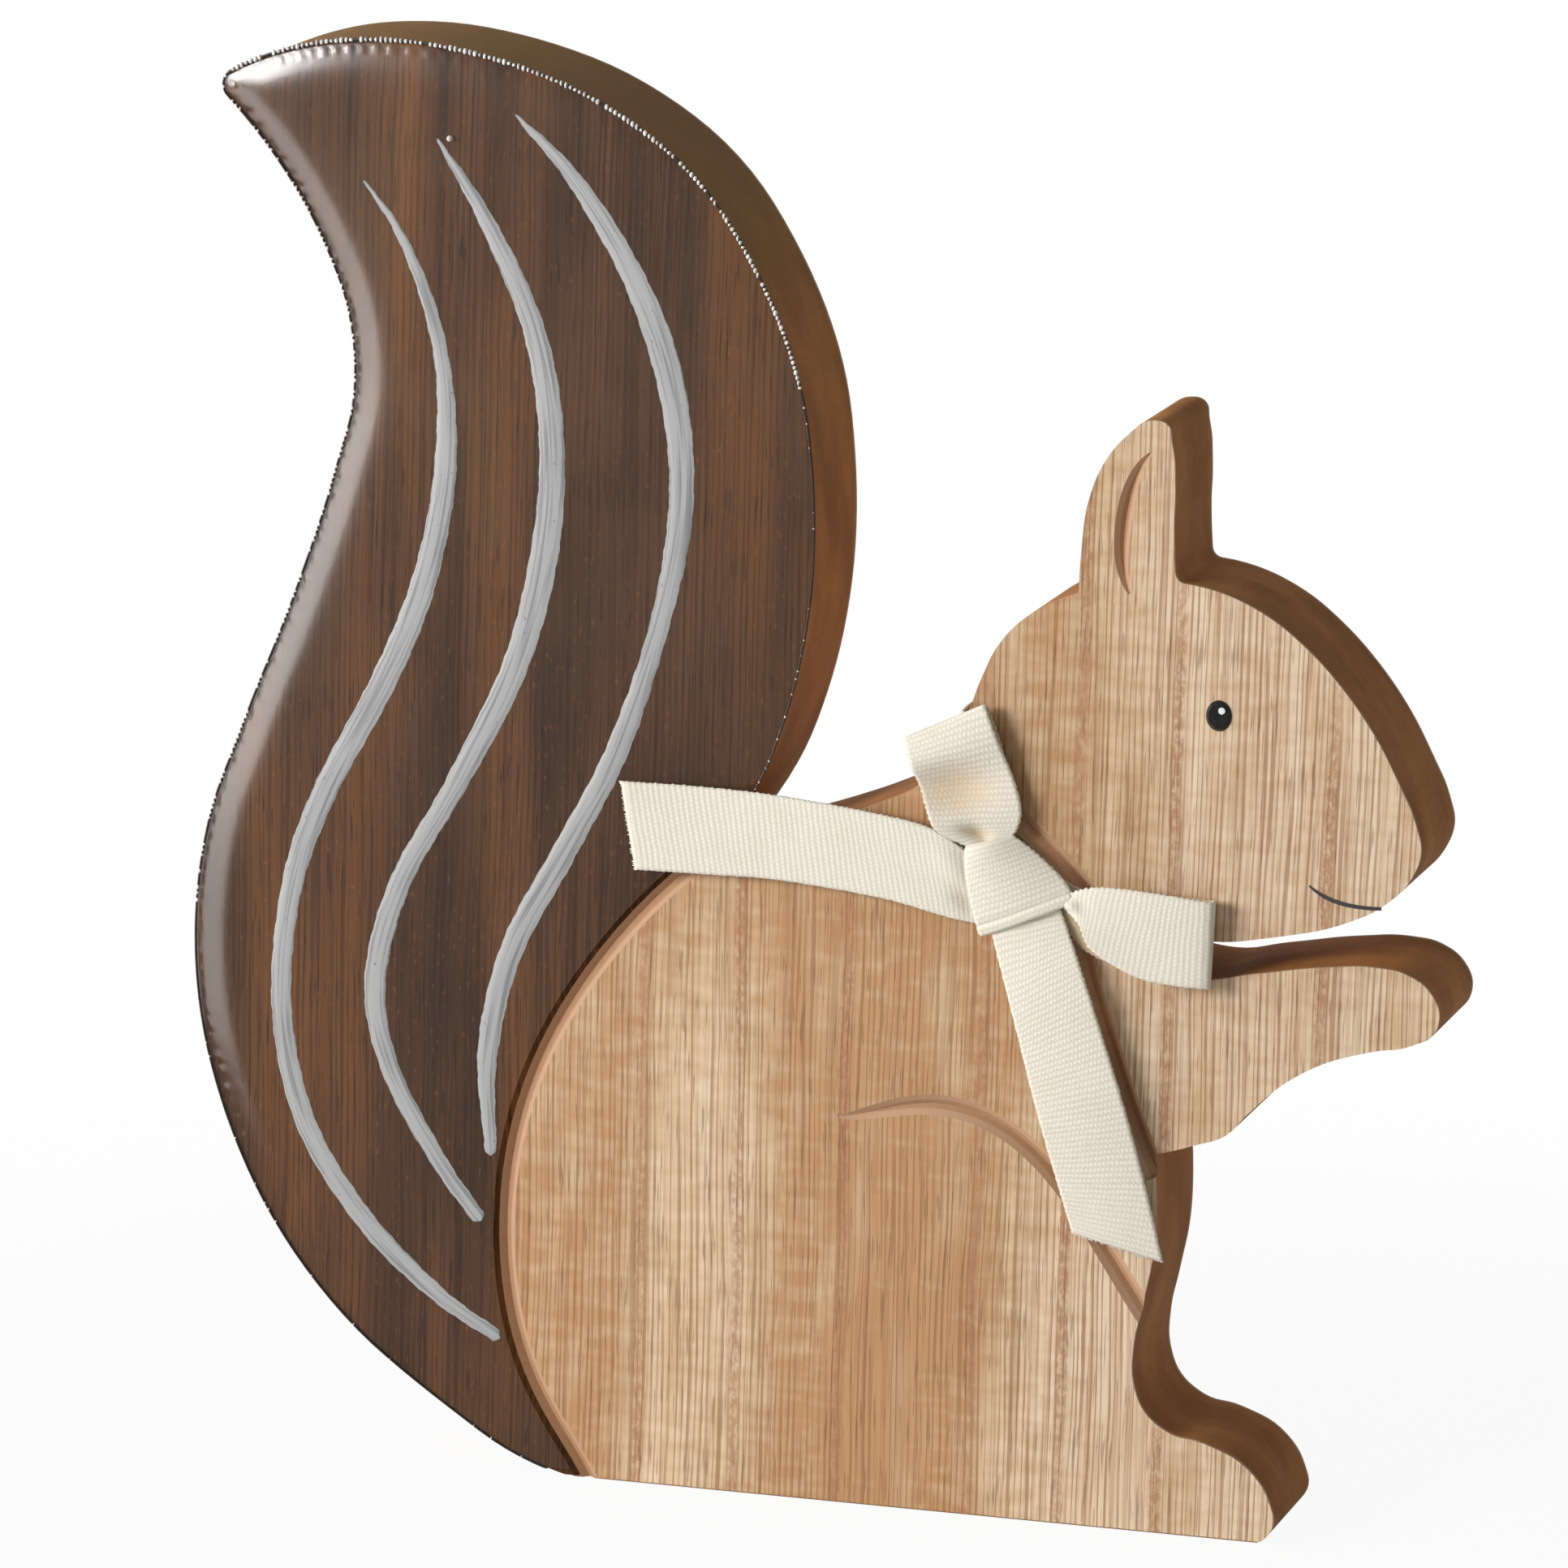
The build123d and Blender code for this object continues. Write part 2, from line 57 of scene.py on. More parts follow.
class Slot(Enum):
    """Material slots of the record, passed with the new pieces but read by nothing."""

    RESIN = "clear_resin"
    STRIPE = "grey_paint"
    TAPE = "cotton_tape"


class Held(Enum):
    """Ways in which a length of tape is held."""

    LAID = "laid"
    FOLDED = "folded"
    HUNG = "hung"
    STRETCHED = "stretched"


def linear(red: int, green: int, blue: int) -> Colour:
    """Turn a screen colour of 0 to 255 into linear light.

    Args:
        red: Red on screen.
        green: Green on screen.
        blue: Blue on screen.

    Returns:
        The same colour as linear values.
    """

    def one(value: int) -> float:
        """Turn one screen value into linear light."""
        share = value / 255
        return share / 12.92 if share <= 0.04045 else ((share + 0.055) / 1.055) ** 2.4

    return one(red), one(green), one(blue)


class Flow:
    """A shader socket that takes part in Python sums."""

    def __init__(self, tree: "ShaderTree", socket: bpy.types.NodeSocket) -> None:
        """Keep the socket and the tree that it is in."""
        self.tree = tree
        self.socket = socket

    def _math(self, operation: str, first: Any, second: Any) -> "Flow":
        """Add one Math node."""
        return self.tree.node("ShaderNodeMath", {"operation": operation}, {0: first, 1: second})

    def __add__(self, other: Any) -> "Flow":
        """Add."""
        return self._math("ADD", self, other)

    __radd__ = __add__

    def __mul__(self, other: Any) -> "Flow":
        """Multiply."""
        return self._math("MULTIPLY", self, other)

    __rmul__ = __mul__

    def __sub__(self, other: Any) -> "Flow":
        """Subtract."""
        return self._math("SUBTRACT", self, other)

    def __rsub__(self, other: Any) -> "Flow":
        """Subtract this from a number."""
        return self._math("SUBTRACT", other, self)

    def __truediv__(self, other: Any) -> "Flow":
        """Divide."""
        return self._math("DIVIDE", self, other)

    def __abs__(self) -> "Flow":
        """Give the size without its sign."""
        return self._math("ABSOLUTE", self, 0.0)

    def power(self, other: float) -> "Flow":
        """Raise to a power."""
        return self._math("POWER", self, other)

    def sine(self) -> "Flow":
        """Give the sine."""
        return self._math("SINE", self, 0.0)

    def clamp(self) -> "Flow":
        """Keep between 0 and 1."""
        return self._math("MINIMUM", self._math("MAXIMUM", self, 0.0), 1.0)

    def step(self, low: float, high: float) -> "Flow":
        """Rise smoothly from 0 at low to 1 at high."""
        return self.tree.node(
            "ShaderNodeMapRange",
            {"interpolation_type": "SMOOTHSTEP"},
            {"Value": self, "From Min": low, "From Max": high},
        )


class NodeTree:
    """Nodes and links of one tree."""

    def __init__(self, tree: bpy.types.NodeTree) -> None:
        """Keep the tree's nodes and links."""
        self.nodes = tree.nodes
        self.links = tree.links

    def add(self, kind: str, settings: dict[str, Any], inputs: dict[Any, Any]) -> bpy.types.NodeOutputs:
        """Add one node.

        Args:
            kind: The node's type.
            settings: Attributes that are set first.
            inputs: Values or links, by socket name or number.

        Returns:
            The node's outputs.
        """
        made = self.nodes.new(kind)
        for key, value in settings.items():
            setattr(made, key, value)
        for key, value in inputs.items():
            socket = made.inputs[key]
            given = value.socket if isinstance(value, Flow) else value
            if isinstance(given, bpy.types.NodeSocket):
                self.links.new(given, socket)
            elif isinstance(socket, bpy.types.NodeSocketColor) and len(given) == 3:
                socket.default_value = (*given, 1.0)
            else:
                socket.default_value = given
        return made.outputs


class ShaderTree(NodeTree):
    """The nodes of one material, or of the world."""

    def __init__(self, owner: bpy.types.Material | bpy.types.World) -> None:
        """Start without nodes.

        Args:
            owner: The material or the world.
        """
        owner.use_nodes = True
        super().__init__(owner.node_tree)
        self.nodes.clear()

    def node(self, kind: str, settings: dict[str, Any], inputs: dict[Any, Any], out: Any = 0) -> Flow:
        """Add one node and give one of its outputs."""
        return Flow(self, self.add(kind, settings, inputs)[out])

    def split(self, spot: Flow, scale: float, axes: str) -> tuple[Flow, ...]:
        """Take a place apart into scaled coordinates."""
        outputs = self.add("ShaderNodeSeparateXYZ", {}, {0: spot})
        return tuple(Flow(self, outputs[axis]) * scale for axis in axes)

    def place(self) -> tuple[Flow, ...]:
        """Give the object's x, y and z, in millimetres."""
        return self.split(self.node("ShaderNodeTexCoord", {}, {}, "Object"), 1 / MM, "XYZ")

    def uv(self) -> tuple[Flow, ...]:
        """Give the piece's own map, in millimetres across and along."""
        return self.split(self.node("ShaderNodeUVMap", {"uv_map": "Lay"}, {}), LAY_MM, "XY")

    def front(self) -> Flow:
        """Give how squarely the surface faces the front, from -1 to 1."""
        normal = self.node("ShaderNodeNewGeometry", {}, {}, "Normal")
        return self.node("ShaderNodeSeparateXYZ", {}, {0: normal}, "Y") * -1.0

    def noise(self, x: Any, y: Any, z: Any, detail: float = 2.0, rough: float = 0.5) -> Flow:
        """Add noise at a made-up place.

        Args:
            x: First coordinate.
            y: Second coordinate.
            z: Third coordinate, usually a seed.
            detail: Octaves.
            rough: How strong the fine octaves are.

        Returns:
            A flow about 0.5.
        """
        spot = self.node("ShaderNodeCombineXYZ", {}, {0: x, 1: y, 2: z})
        return self.node(
            "ShaderNodeTexNoise", {}, {"Vector": spot, "Scale": 1.0, "Detail": detail, "Roughness": rough}
        )

    def mix(self, share: Any, first: Any, second: Any) -> Flow:
        """Mix two colours.

        Args:
            share: How much of the second.
            first: First colour.
            second: Second colour.

        Returns:
            The mixed colour.
        """
        return self.node("ShaderNodeMix", {"data_type": "RGBA"}, {0: share, 6: first, 7: second}, 2)

    def bump(self, height: Flow, strength: float, distance_mm: float) -> Flow:
        """Turn a height into a normal."""
        return self.node(
            "ShaderNodeBump", {}, {"Strength": strength, "Distance": distance_mm * MM, "Height": height}
        )

    def principled(self, **inputs: Any) -> Flow:
        """Add a Principled shader; underscores in names stand for spaces."""
        return self.node("ShaderNodeBsdfPrincipled", {}, {k.replace("_", " "): v for k, v in inputs.items()})

    def close(self, shader: Flow, output: str = "ShaderNodeOutputMaterial") -> None:
        """Join a shader to the output."""
        self.add(output, {}, {"Surface": shader})


class Finish:
    """A look that makes its own material."""

    name: str

    def build(self) -> bpy.types.Material:
        """Make the material.

        Returns:
            The finish's material.
        """
        material = bpy.data.materials.new(self.name)
        tree = ShaderTree(material)
        tree.close(self.surface(tree))
        return material

    def surface(self, tree: ShaderTree) -> Flow:
        """Lay the shader's nodes.

        Args:
            tree: The material's tree.

        Returns:
            The shader shown.
        """
        raise NotImplementedError


@dataclass(frozen=True)
class VeneerFinish(Finish):
    """Flat-sawn pale veneer, clear or stained, with growth rings and short vessels."""

    name: str
    pale: Colour
    middle: Colour
    deep: Colour
    ring: Colour
    vessel: Colour
    ring_places_mm: tuple[float, ...]
    streak: float
    roughness: float
    glow: Colour | None = None
    haze: Colour | None = None
    carved: Colour | None = None
    fade_mm: tuple[float, float] | None = None
    zones_mm: tuple[tuple[float, float, float, float], ...] = ()
    specular: float = 0.3
    pore_mm: float = 0.82
    pore_share: float = 0.65
    heart_mm: float = -69.5
    heart_rise_mm: tuple[float, float] = (105.0, 160.0)
    haze_rise_mm: tuple[float, float] = (60.0, 150.0)

    def surface(self, tree: ShaderTree) -> Flow:
        """Lay the shader's nodes."""
        x, _, z = tree.place()
        lean = (tree.noise(x * 0.02, z * 0.011, 3.0) - 0.5) * 3.2
        sway = lean + (tree.noise(x * 0.2, z * 0.05, 7.0) - 0.5) * 0.5
        grain = x + sway
        broad = tree.noise(grain * 0.085, z * 0.012, 11.0, 1.0)
        band = tree.noise(grain * 0.42, z * 0.009, 17.0, 3.0, 0.6)
        flame = tree.noise(x * 0.2 + band, z * 0.5, 13.0, 1.0, 0.5)
        line = tree.noise(grain * 1.7, z * 0.02, 23.0, 1.0, 0.6)
        hair = tree.noise(grain * 3.6, z * 0.06, 29.0, 0.0)
        drift = tree.noise(grain * 0.9, z * 0.012, 19.0) * 1.6
        pore = ((grain + drift) * (2 * math.pi / self.pore_mm)).sine().step(0.2, 0.95)
        pore = pore * tree.noise(grain * 0.7, z * 0.025, 27.0).step(0.28, 0.55)
        vessel = tree.noise(grain * 3.4, z * 0.14, 31.0, 1.0, 0.5).step(0.60, 0.70)
        smear = tree.noise(grain * 0.17, z * 0.055, 37.0, 1.0)
        cloud = tree.noise(grain * 0.11, z * 0.05, 39.0, 1.0)
        tone = broad.step(0.34, 0.66)
        if self.fade_mm is not None:
            tone = (broad - 0.5) * 1.2 + (flame - 0.5) * 1.0 + 0.98 - x.step(*self.fade_mm) * 0.77
            for centre, half, top, foot in self.zones_mm:
                tone = tone - (1.0 - abs(grain - centre) / half).step(0.0, 0.7) * z.step(top, foot) * 0.75
            tone = tone.clamp()
        colour = tree.mix(tone, self.pale, self.middle)
        colour = tree.mix(band.step(0.40, 0.72) * 0.4, colour, self.middle)
        colour = tree.mix(cloud.step(0.48, 0.74) * 0.3, colour, self.middle)
        colour = tree.mix(smear.step(0.50, 0.78) * 0.3, colour, self.pale)
        colour = tree.mix(line.step(0.48, 0.74) * self.streak * 0.8, colour, self.deep)
        colour = tree.mix(hair.step(0.52, 0.78) * self.streak * 0.5, colour, self.deep)
        rings: Flow | None = None
        for place in self.ring_places_mm:
            mark = (1.0 - abs(grain - place) * 0.85).step(0.0, 0.7)
            rings = mark if rings is None else rings + mark
        if rings is not None:
            speckle = tree.noise(grain * 1.5, z * 0.7, 41.0, 2.0, 0.7).step(0.34, 0.62)
            worn = tree.noise(grain * 0.08, z * 0.03, 45.0, 1.0).step(0.30, 0.62) * 0.5 + 0.5
            colour = tree.mix(rings.clamp() * (speckle * 0.6 + 0.2) * worn, colour, self.ring)
        if self.glow is not None:
            warm = tree.noise(grain * 0.06, z * 0.006, 43.0, 1.0).step(0.48, 0.64) * 0.36
            heart = (1.0 - abs(grain - self.heart_mm) * 0.22).clamp() * z.step(*self.heart_rise_mm)
            fleck = tree.noise(grain * 1.9, z * 0.8, 53.0, 2.0, 0.6).step(0.60, 0.72)
            colour = tree.mix((warm + heart * 0.6 + fleck * 0.35).clamp(), colour, self.glow)
        colour = tree.mix(pore * self.pore_share, colour, self.deep)
        colour = tree.mix(vessel * 0.5, colour, self.vessel)
        if self.haze is not None:
            milk = tree.noise(x * 0.06, z * 0.04, 47.0, 2.0).step(0.42, 0.72) * z.step(*self.haze_rise_mm)
            colour = tree.mix(milk * 0.3, colour, self.haze)
        if self.carved is not None:
            colour = tree.mix(abs(tree.front()).step(0.96, 0.80), colour, self.carved)
        height = line * 0.5 + hair * 0.5 - pore * 0.4 - vessel * 0.8
        return tree.principled(
            Base_Color=colour,
            Roughness=(band * 0.14 + (self.roughness - 0.07)),
            Normal=tree.bump(height, 0.25, 0.08),
            Specular_IOR_Level=self.specular,
        )


@dataclass(frozen=True)
class BoardFinish(Finish):
    """Smooth sanded fibreboard with a thin brown wash; the sides' warm browns are partly painted shade, and
    the flanks near the neck carry painted light.
    """

    name: str = "fibreboard_edge"
    # fair and dull: the sides' browns, warmer and deeper than the carved brown, partly the board's colour and
    # partly painted warm shade.
    fair: Colour = linear(192, 133, 77)
    dull: Colour = linear(160, 107, 60)
    carved: Colour = linear(178, 141, 110)
    olive: Colour = linear(150, 118, 78)
    # Painted light: a paler brown for the cut flanks by the knot, lifting the shade that the knot casts
    # there.
    neck: Colour = linear(210, 170, 136)
    olive_mm: tuple[tuple[float, float], ...] = ((128.0, 172.0), (-12.0, -28.0))
    painted_light_neck_mm: tuple[tuple[float, float], ...] = ((-4.0, 2.0), (58.0, 66.0), (112.0, 104.0))

    def surface(self, tree: ShaderTree) -> Flow:
        """Lay the shader's nodes."""
        x, y, z = tree.place()
        cloud = tree.noise(x * 0.06, y * 0.10, z * 0.06, 3.0, 0.6)
        fibre = tree.noise(x * 1.4, y * 0.35, z * 1.4, 3.0, 0.7)
        dust = tree.noise(x * 5.0, y * 5.0, z * 5.0, 2.0, 0.6)
        colour = tree.mix(cloud.step(0.3, 0.7), self.fair, self.dull)
        rise, aside = self.olive_mm
        colour = tree.mix(z.step(*rise) * x.step(*aside) * 0.85, colour, self.olive)
        # Painted light: the cut flanks near the neck are lightened where the knot's shadow falls.
        aside, foot, top = self.painted_light_neck_mm
        neck = x.step(*aside) * z.step(*foot) * z.step(*top)
        carved = tree.mix(neck, self.carved, self.neck)
        # Front-facing cut flanks take the carved brown; the other faces keep the sides' browns with their
        # painted warm shade.
        colour = tree.mix(tree.front().step(0.3, 0.6), colour, carved)
        colour = tree.mix(fibre.step(0.45, 0.8) * 0.35, colour, self.dull)
        colour = tree.mix(dust.step(0.62, 0.8) * 0.25, colour, self.fair)
        return tree.principled(
            Base_Color=colour,
            Roughness=fibre * 0.2 + 0.5,
            Normal=tree.bump(fibre + dust * 0.5, 0.15, 0.05),
            Specular_IOR_Level=0.06,
        )


@dataclass(frozen=True)
class ResinFinish(Finish):
    """Clear gloss coat: it shows what lies under it and mirrors the lamps."""

    name: str = "clear_resin"

    def surface(self, tree: ShaderTree) -> Flow:
        """Lay the shader's nodes."""
        x, _, z = tree.place()
        wave = tree.noise(x * 0.05, z * 0.05, 5.0, 2.0)
        normal = tree.bump(wave, 0.05, 1.0)
        clear = tree.node("ShaderNodeBsdfTransparent", {}, {"Color": (0.99, 0.98, 0.965)})
        gloss = tree.node(
            "ShaderNodeBsdfGlossy", {}, {"Color": (1.0, 1.0, 1.0), "Roughness": 0.19, "Normal": normal}
        )
        slant = tree.node("ShaderNodeLayerWeight", {}, {"Blend": 0.5, "Normal": normal}, "Facing")
        share = slant.power(5.0) * 0.96 + 0.04
        return tree.node("ShaderNodeMixShader", {}, {0: share, 1: clear, 2: gloss})


@dataclass(frozen=True)
class StripeFinish(Finish):
    """Brushed grey-white paint with streaks along the stroke."""

    name: str = "stripe_paint"
    thick: Colour = linear(171, 174, 178)
    thin: Colour = linear(112, 116, 123)
    gap: Colour = linear(70, 58, 50)

    def surface(self, tree: ShaderTree) -> Flow:
        """Lay the shader's nodes."""
        across, along = tree.uv()
        streak = tree.noise(across * 2.6, along * 0.06, 2.0, 1.0, 0.6)
        patch = tree.noise(across * 0.3, along * 0.06, 9.0, 2.0)
        speck = tree.noise(across * 2.2, along * 1.1, 12.0, 2.0, 0.6).step(0.70, 0.74)
        worn = streak.step(0.44, 0.70) * 0.75 + patch.step(0.5, 0.8) * 0.2
        colour = tree.mix(worn.clamp(), self.thick, self.thin)
        colour = tree.mix(speck * 0.7, colour, self.gap)
        return tree.principled(Base_Color=colour, Roughness=0.45)


@dataclass(frozen=True)
class PlainFinish(Finish):
    """Gloss paint of one colour with a slight unevenness."""

    name: str
    colour: Colour
    other: Colour
    roughness: float

    def surface(self, tree: ShaderTree) -> Flow:
        """Lay the shader's nodes."""
        x, y, z = tree.place()
        cloud = tree.noise(x * 1.6, y * 1.6, z * 0.7, 2.0)
        return tree.principled(
            Base_Color=tree.mix(cloud.step(0.4, 0.7), self.colour, self.other), Roughness=self.roughness
        )


@dataclass(frozen=True)
class TapeFinish(Finish):
    """Plain-woven cream cotton tape with ribs across its width, painted shade in its weave gaps, and a tan
    tint of painted shade in fold dips and turned layers.
    """

    name: str = "cotton_tape"
    yarn: Colour = linear(236, 231, 220)
    shade: Colour = linear(210, 198, 176)
    # Tan tint of painted shade for fold dips and the turned inner layer of the loops.
    hollow: Colour = linear(206, 182, 144)
    rib_mm: float = 0.72
    end_mm: float = 0.26

    def surface(self, tree: ShaderTree) -> Flow:
        """Lay the shader's nodes."""
        across, along = tree.uv()
        drift = (tree.noise(across * 0.25, along * 0.25, 4.0, 2.0) - 0.5) * 0.5
        half = math.pi
        rib = ((along + drift) * (2 * half / self.rib_mm)).sine()
        check = ((along + drift) * (half / self.rib_mm) + half / 4).sine()
        check = check * ((across + drift * 0.3) * (half / self.end_mm)).sine()
        weave = rib * 0.26 + check * 0.26 + 0.5
        fluff = tree.noise(across * 4.0, along * 4.0, 6.0, 3.0, 0.7)
        cloud = tree.noise(across * 0.2, along * 0.2, 8.0, 2.0)
        # Painted shade in the gaps of the weave, plus random tone from cloud.
        dark = ((1.0 - weave.step(0.1, 0.7)) * 0.62 + cloud.step(0.4, 0.8) * 0.14).clamp()
        # Painted shade: fold dips and turned layers take the tan tint.
        depth = tree.node("ShaderNodeAttribute", {"attribute_name": "Hollow"}, {}, "Fac")
        return tree.principled(
            Base_Color=tree.mix(depth.clamp() * 0.85, tree.mix(dark, self.yarn, self.shade), self.hollow),
            Roughness=0.9,
            Normal=tree.bump(weave + fluff * 0.25, 0.4, 0.14),
            Specular_IOR_Level=0.15,
        )


@dataclass(frozen=True)
class FloorFinish(Finish):
    """Pale matt floor that fades to white away from the object."""

    name: str = "pale_floor"
    white_share: float = 0.93
    fade_mm: tuple[float, float] = (110.0, 290.0)

    def surface(self, tree: ShaderTree) -> Flow:
        """Lay the shader's nodes."""
        path = tree.node("ShaderNodeLightPath", {}, {}, "Is Camera Ray")
        x, y, _ = tree.place()
        far = (x * x + y * y).power(0.5).step(*self.fade_mm)
        share = far * (1.0 - self.white_share) + self.white_share
        matt = tree.node("ShaderNodeBsdfDiffuse", {}, {"Color": (0.86, 0.86, 0.86)})
        white = tree.node("ShaderNodeEmission", {}, {"Color": (1.0, 1.0, 1.0), "Strength": 1.0})
        return tree.node("ShaderNodeMixShader", {}, {0: path * share, 1: matt, 2: white})


def smooth_line(points: Sequence[Vector], steps: int) -> list[Vector]:
    """Lay a smooth line through points.

    Args:
        points: The points it passes.
        steps: Steps between each two points.

    Returns:
        Points along the line.
    """
    ends = [points[0] * 2 - points[1], *points, points[-1] * 2 - points[-2]]
    made = []
    for p0, p1, p2, p3 in zip(ends, ends[1:], ends[2:], ends[3:]):
        for step in range(steps):
            t = step / steps
            square = p0 * 2 - p1 * 5 + p2 * 4 - p3
            cube = p1 * 3 - p0 - p2 * 3 + p3
            made.append((p1 * 2 + (p2 - p0) * t + square * t**2 + cube * t**3) * 0.5)
    made.append(points[-1].copy())
    return made


def ripple(seed: float, at: float) -> float:
    """Give a small fixed unevenness, from -1 to 1, along a length."""
    waves = ((1.7, 1.0, 1.0), (4.3, 2.1, 0.6), (9.1, 3.7, 0.4))
    return sum(math.sin(at * pitch + seed * shift) * size for pitch, shift, size in waves) / 2


def strip_faces(rows: int, across: int, turned: bool = False) -> list[tuple[int, ...]]:
    """Join rows of points into a strip of faces.

    Args:
        rows: How many rows of points there are.
        across: Faces side by side.
        turned: Whether the faces look the other way.

    Returns:
        The faces, as point numbers.
    """
    wide = across + 1
    starts = [row * wide + step for row in range(rows - 1) for step in range(across)]
    if turned:
        return [(a, a + wide, a + wide + 1, a + 1) for a in starts]
    return [(a, a + 1, a + wide + 1, a + wide) for a in starts]


def link(name: str, data: bpy.types.ID) -> bpy.types.Object:
    """Put a mesh, a camera or a lamp into the scene as an object."""
    made = bpy.data.objects.new(name, data)
    bpy.context.scene.collection.objects.link(made)
    return made


def make_line(name: str, runs: Iterable[Sequence[Vector]]) -> bpy.types.Object:
    """Make open lines from points in millimetres.

    Args:
        name: The piece's name.
        runs: Points of each line.

    Returns:
        The new object.
    """
    spots: list[Vector] = []
    joins: list[tuple[int, int]] = []
    for run in runs:
        joins += [(len(spots) + i, len(spots) + i + 1) for i in range(len(run) - 1)]
        spots += run
    mesh = bpy.data.meshes.new(name)
    mesh.from_pydata([s * MM for s in spots], joins, [])
    return link(name, mesh)


def make_object(
    name: str,
    verts: Iterable[Sequence[float]],
    faces: Iterable[Sequence[int]],
    material: bpy.types.Material,
    uvs: Sequence[tuple[float, float]] | None = None,
) -> bpy.types.Object:
    """Make a smooth mesh object from points in millimetres.

    Args:
        name: The piece's name.
        verts: Points in millimetres.
        faces: Faces as point numbers.
        material: Its material.
        uvs: One map place for each point, if it has a map.

    Returns:
        The new object.
    """
    mesh = bpy.data.meshes.new(name)
    mesh.from_pydata([Vector(v) * MM for v in verts], [], [list(f) for f in faces])
    mesh.polygons.foreach_set("use_smooth", [True] * len(mesh.polygons))
    if uvs is not None:
        layer = mesh.uv_layers.new(name="Lay")
        for loop in mesh.loops:
            layer.data[loop.index].uv = uvs[loop.vertex_index]
    mesh.materials.append(material)
    return link(name, mesh)


def dress(node: str, material: bpy.types.Material) -> None:
    """Put a material on one solid.

    Args:
        node: The solid's name.
        material: Its material.
    """
    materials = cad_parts[node].data.materials
    materials.clear()
    materials.append(material)
    LOG.info("dressed %s", node)


def settle(piece: bpy.types.Object, slot: Slot, *nodes: str) -> None:
    """Fix a piece to the body and hide the solids that it stands for.

    Args:
        piece: The piece.
        slot: Its material slot in the record; not used.
        nodes: Solids that it stands for.
    """
    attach(piece, BODY)
    if nodes:
        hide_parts(*nodes)
    LOG.info("piece %s, %d faces", piece.name, len(piece.data.polygons))


@dataclass
class Board:
    """The carved board: fibreboard core and its veneers, as the solids give them."""

    rings_mm: tuple[float, ...] = (-36.6, -24.2, -10.7, 6.4, 18.0, 30.3, 49.5)
    tail_rings_mm: tuple[float, ...] = (-84.0, -71.0, -55.0, -40.0, -27.0)
    pale: tuple[str, ...] = ("body_veneer", "head_veneer", "arm_veneer", "back_veneer")

    def dress(self) -> None:
        """Give the core and the veneers their finishes."""
        veneer = VeneerFinish(
            name="pale_veneer",
            pale=linear(232, 211, 181),
            middle=linear(189, 147, 102),
            deep=linear(146, 102, 64),
            ring=linear(164, 115, 80),
            vessel=linear(116, 78, 50),
            ring_places_mm=self.rings_mm,
            streak=0.5,
            roughness=0.55,
            carved=linear(192, 155, 124),
            fade_mm=(14.0, 32.0),
            zones_mm=((-30.0, 11.5, 100.0, 40.0), (19.0, 17.0, 84.0, 40.0)),
        ).build()
        stained = VeneerFinish(
            name="stained_veneer",
            pale=linear(100, 66, 40),
            middle=linear(63, 42, 27),
            deep=linear(42, 29, 20),
            ring=linear(64, 42, 29),
            vessel=linear(18, 12, 9),
            ring_places_mm=self.tail_rings_mm,
            streak=0.8,
            roughness=0.7,
            glow=linear(140, 92, 50),
            haze=linear(106, 79, 56),
            specular=0.08,
            pore_share=0.5,
        ).build()
        dress("core_board", BoardFinish().build())
        dress("tail_veneer", stained)
        for name in self.pale:
            dress(name, veneer)


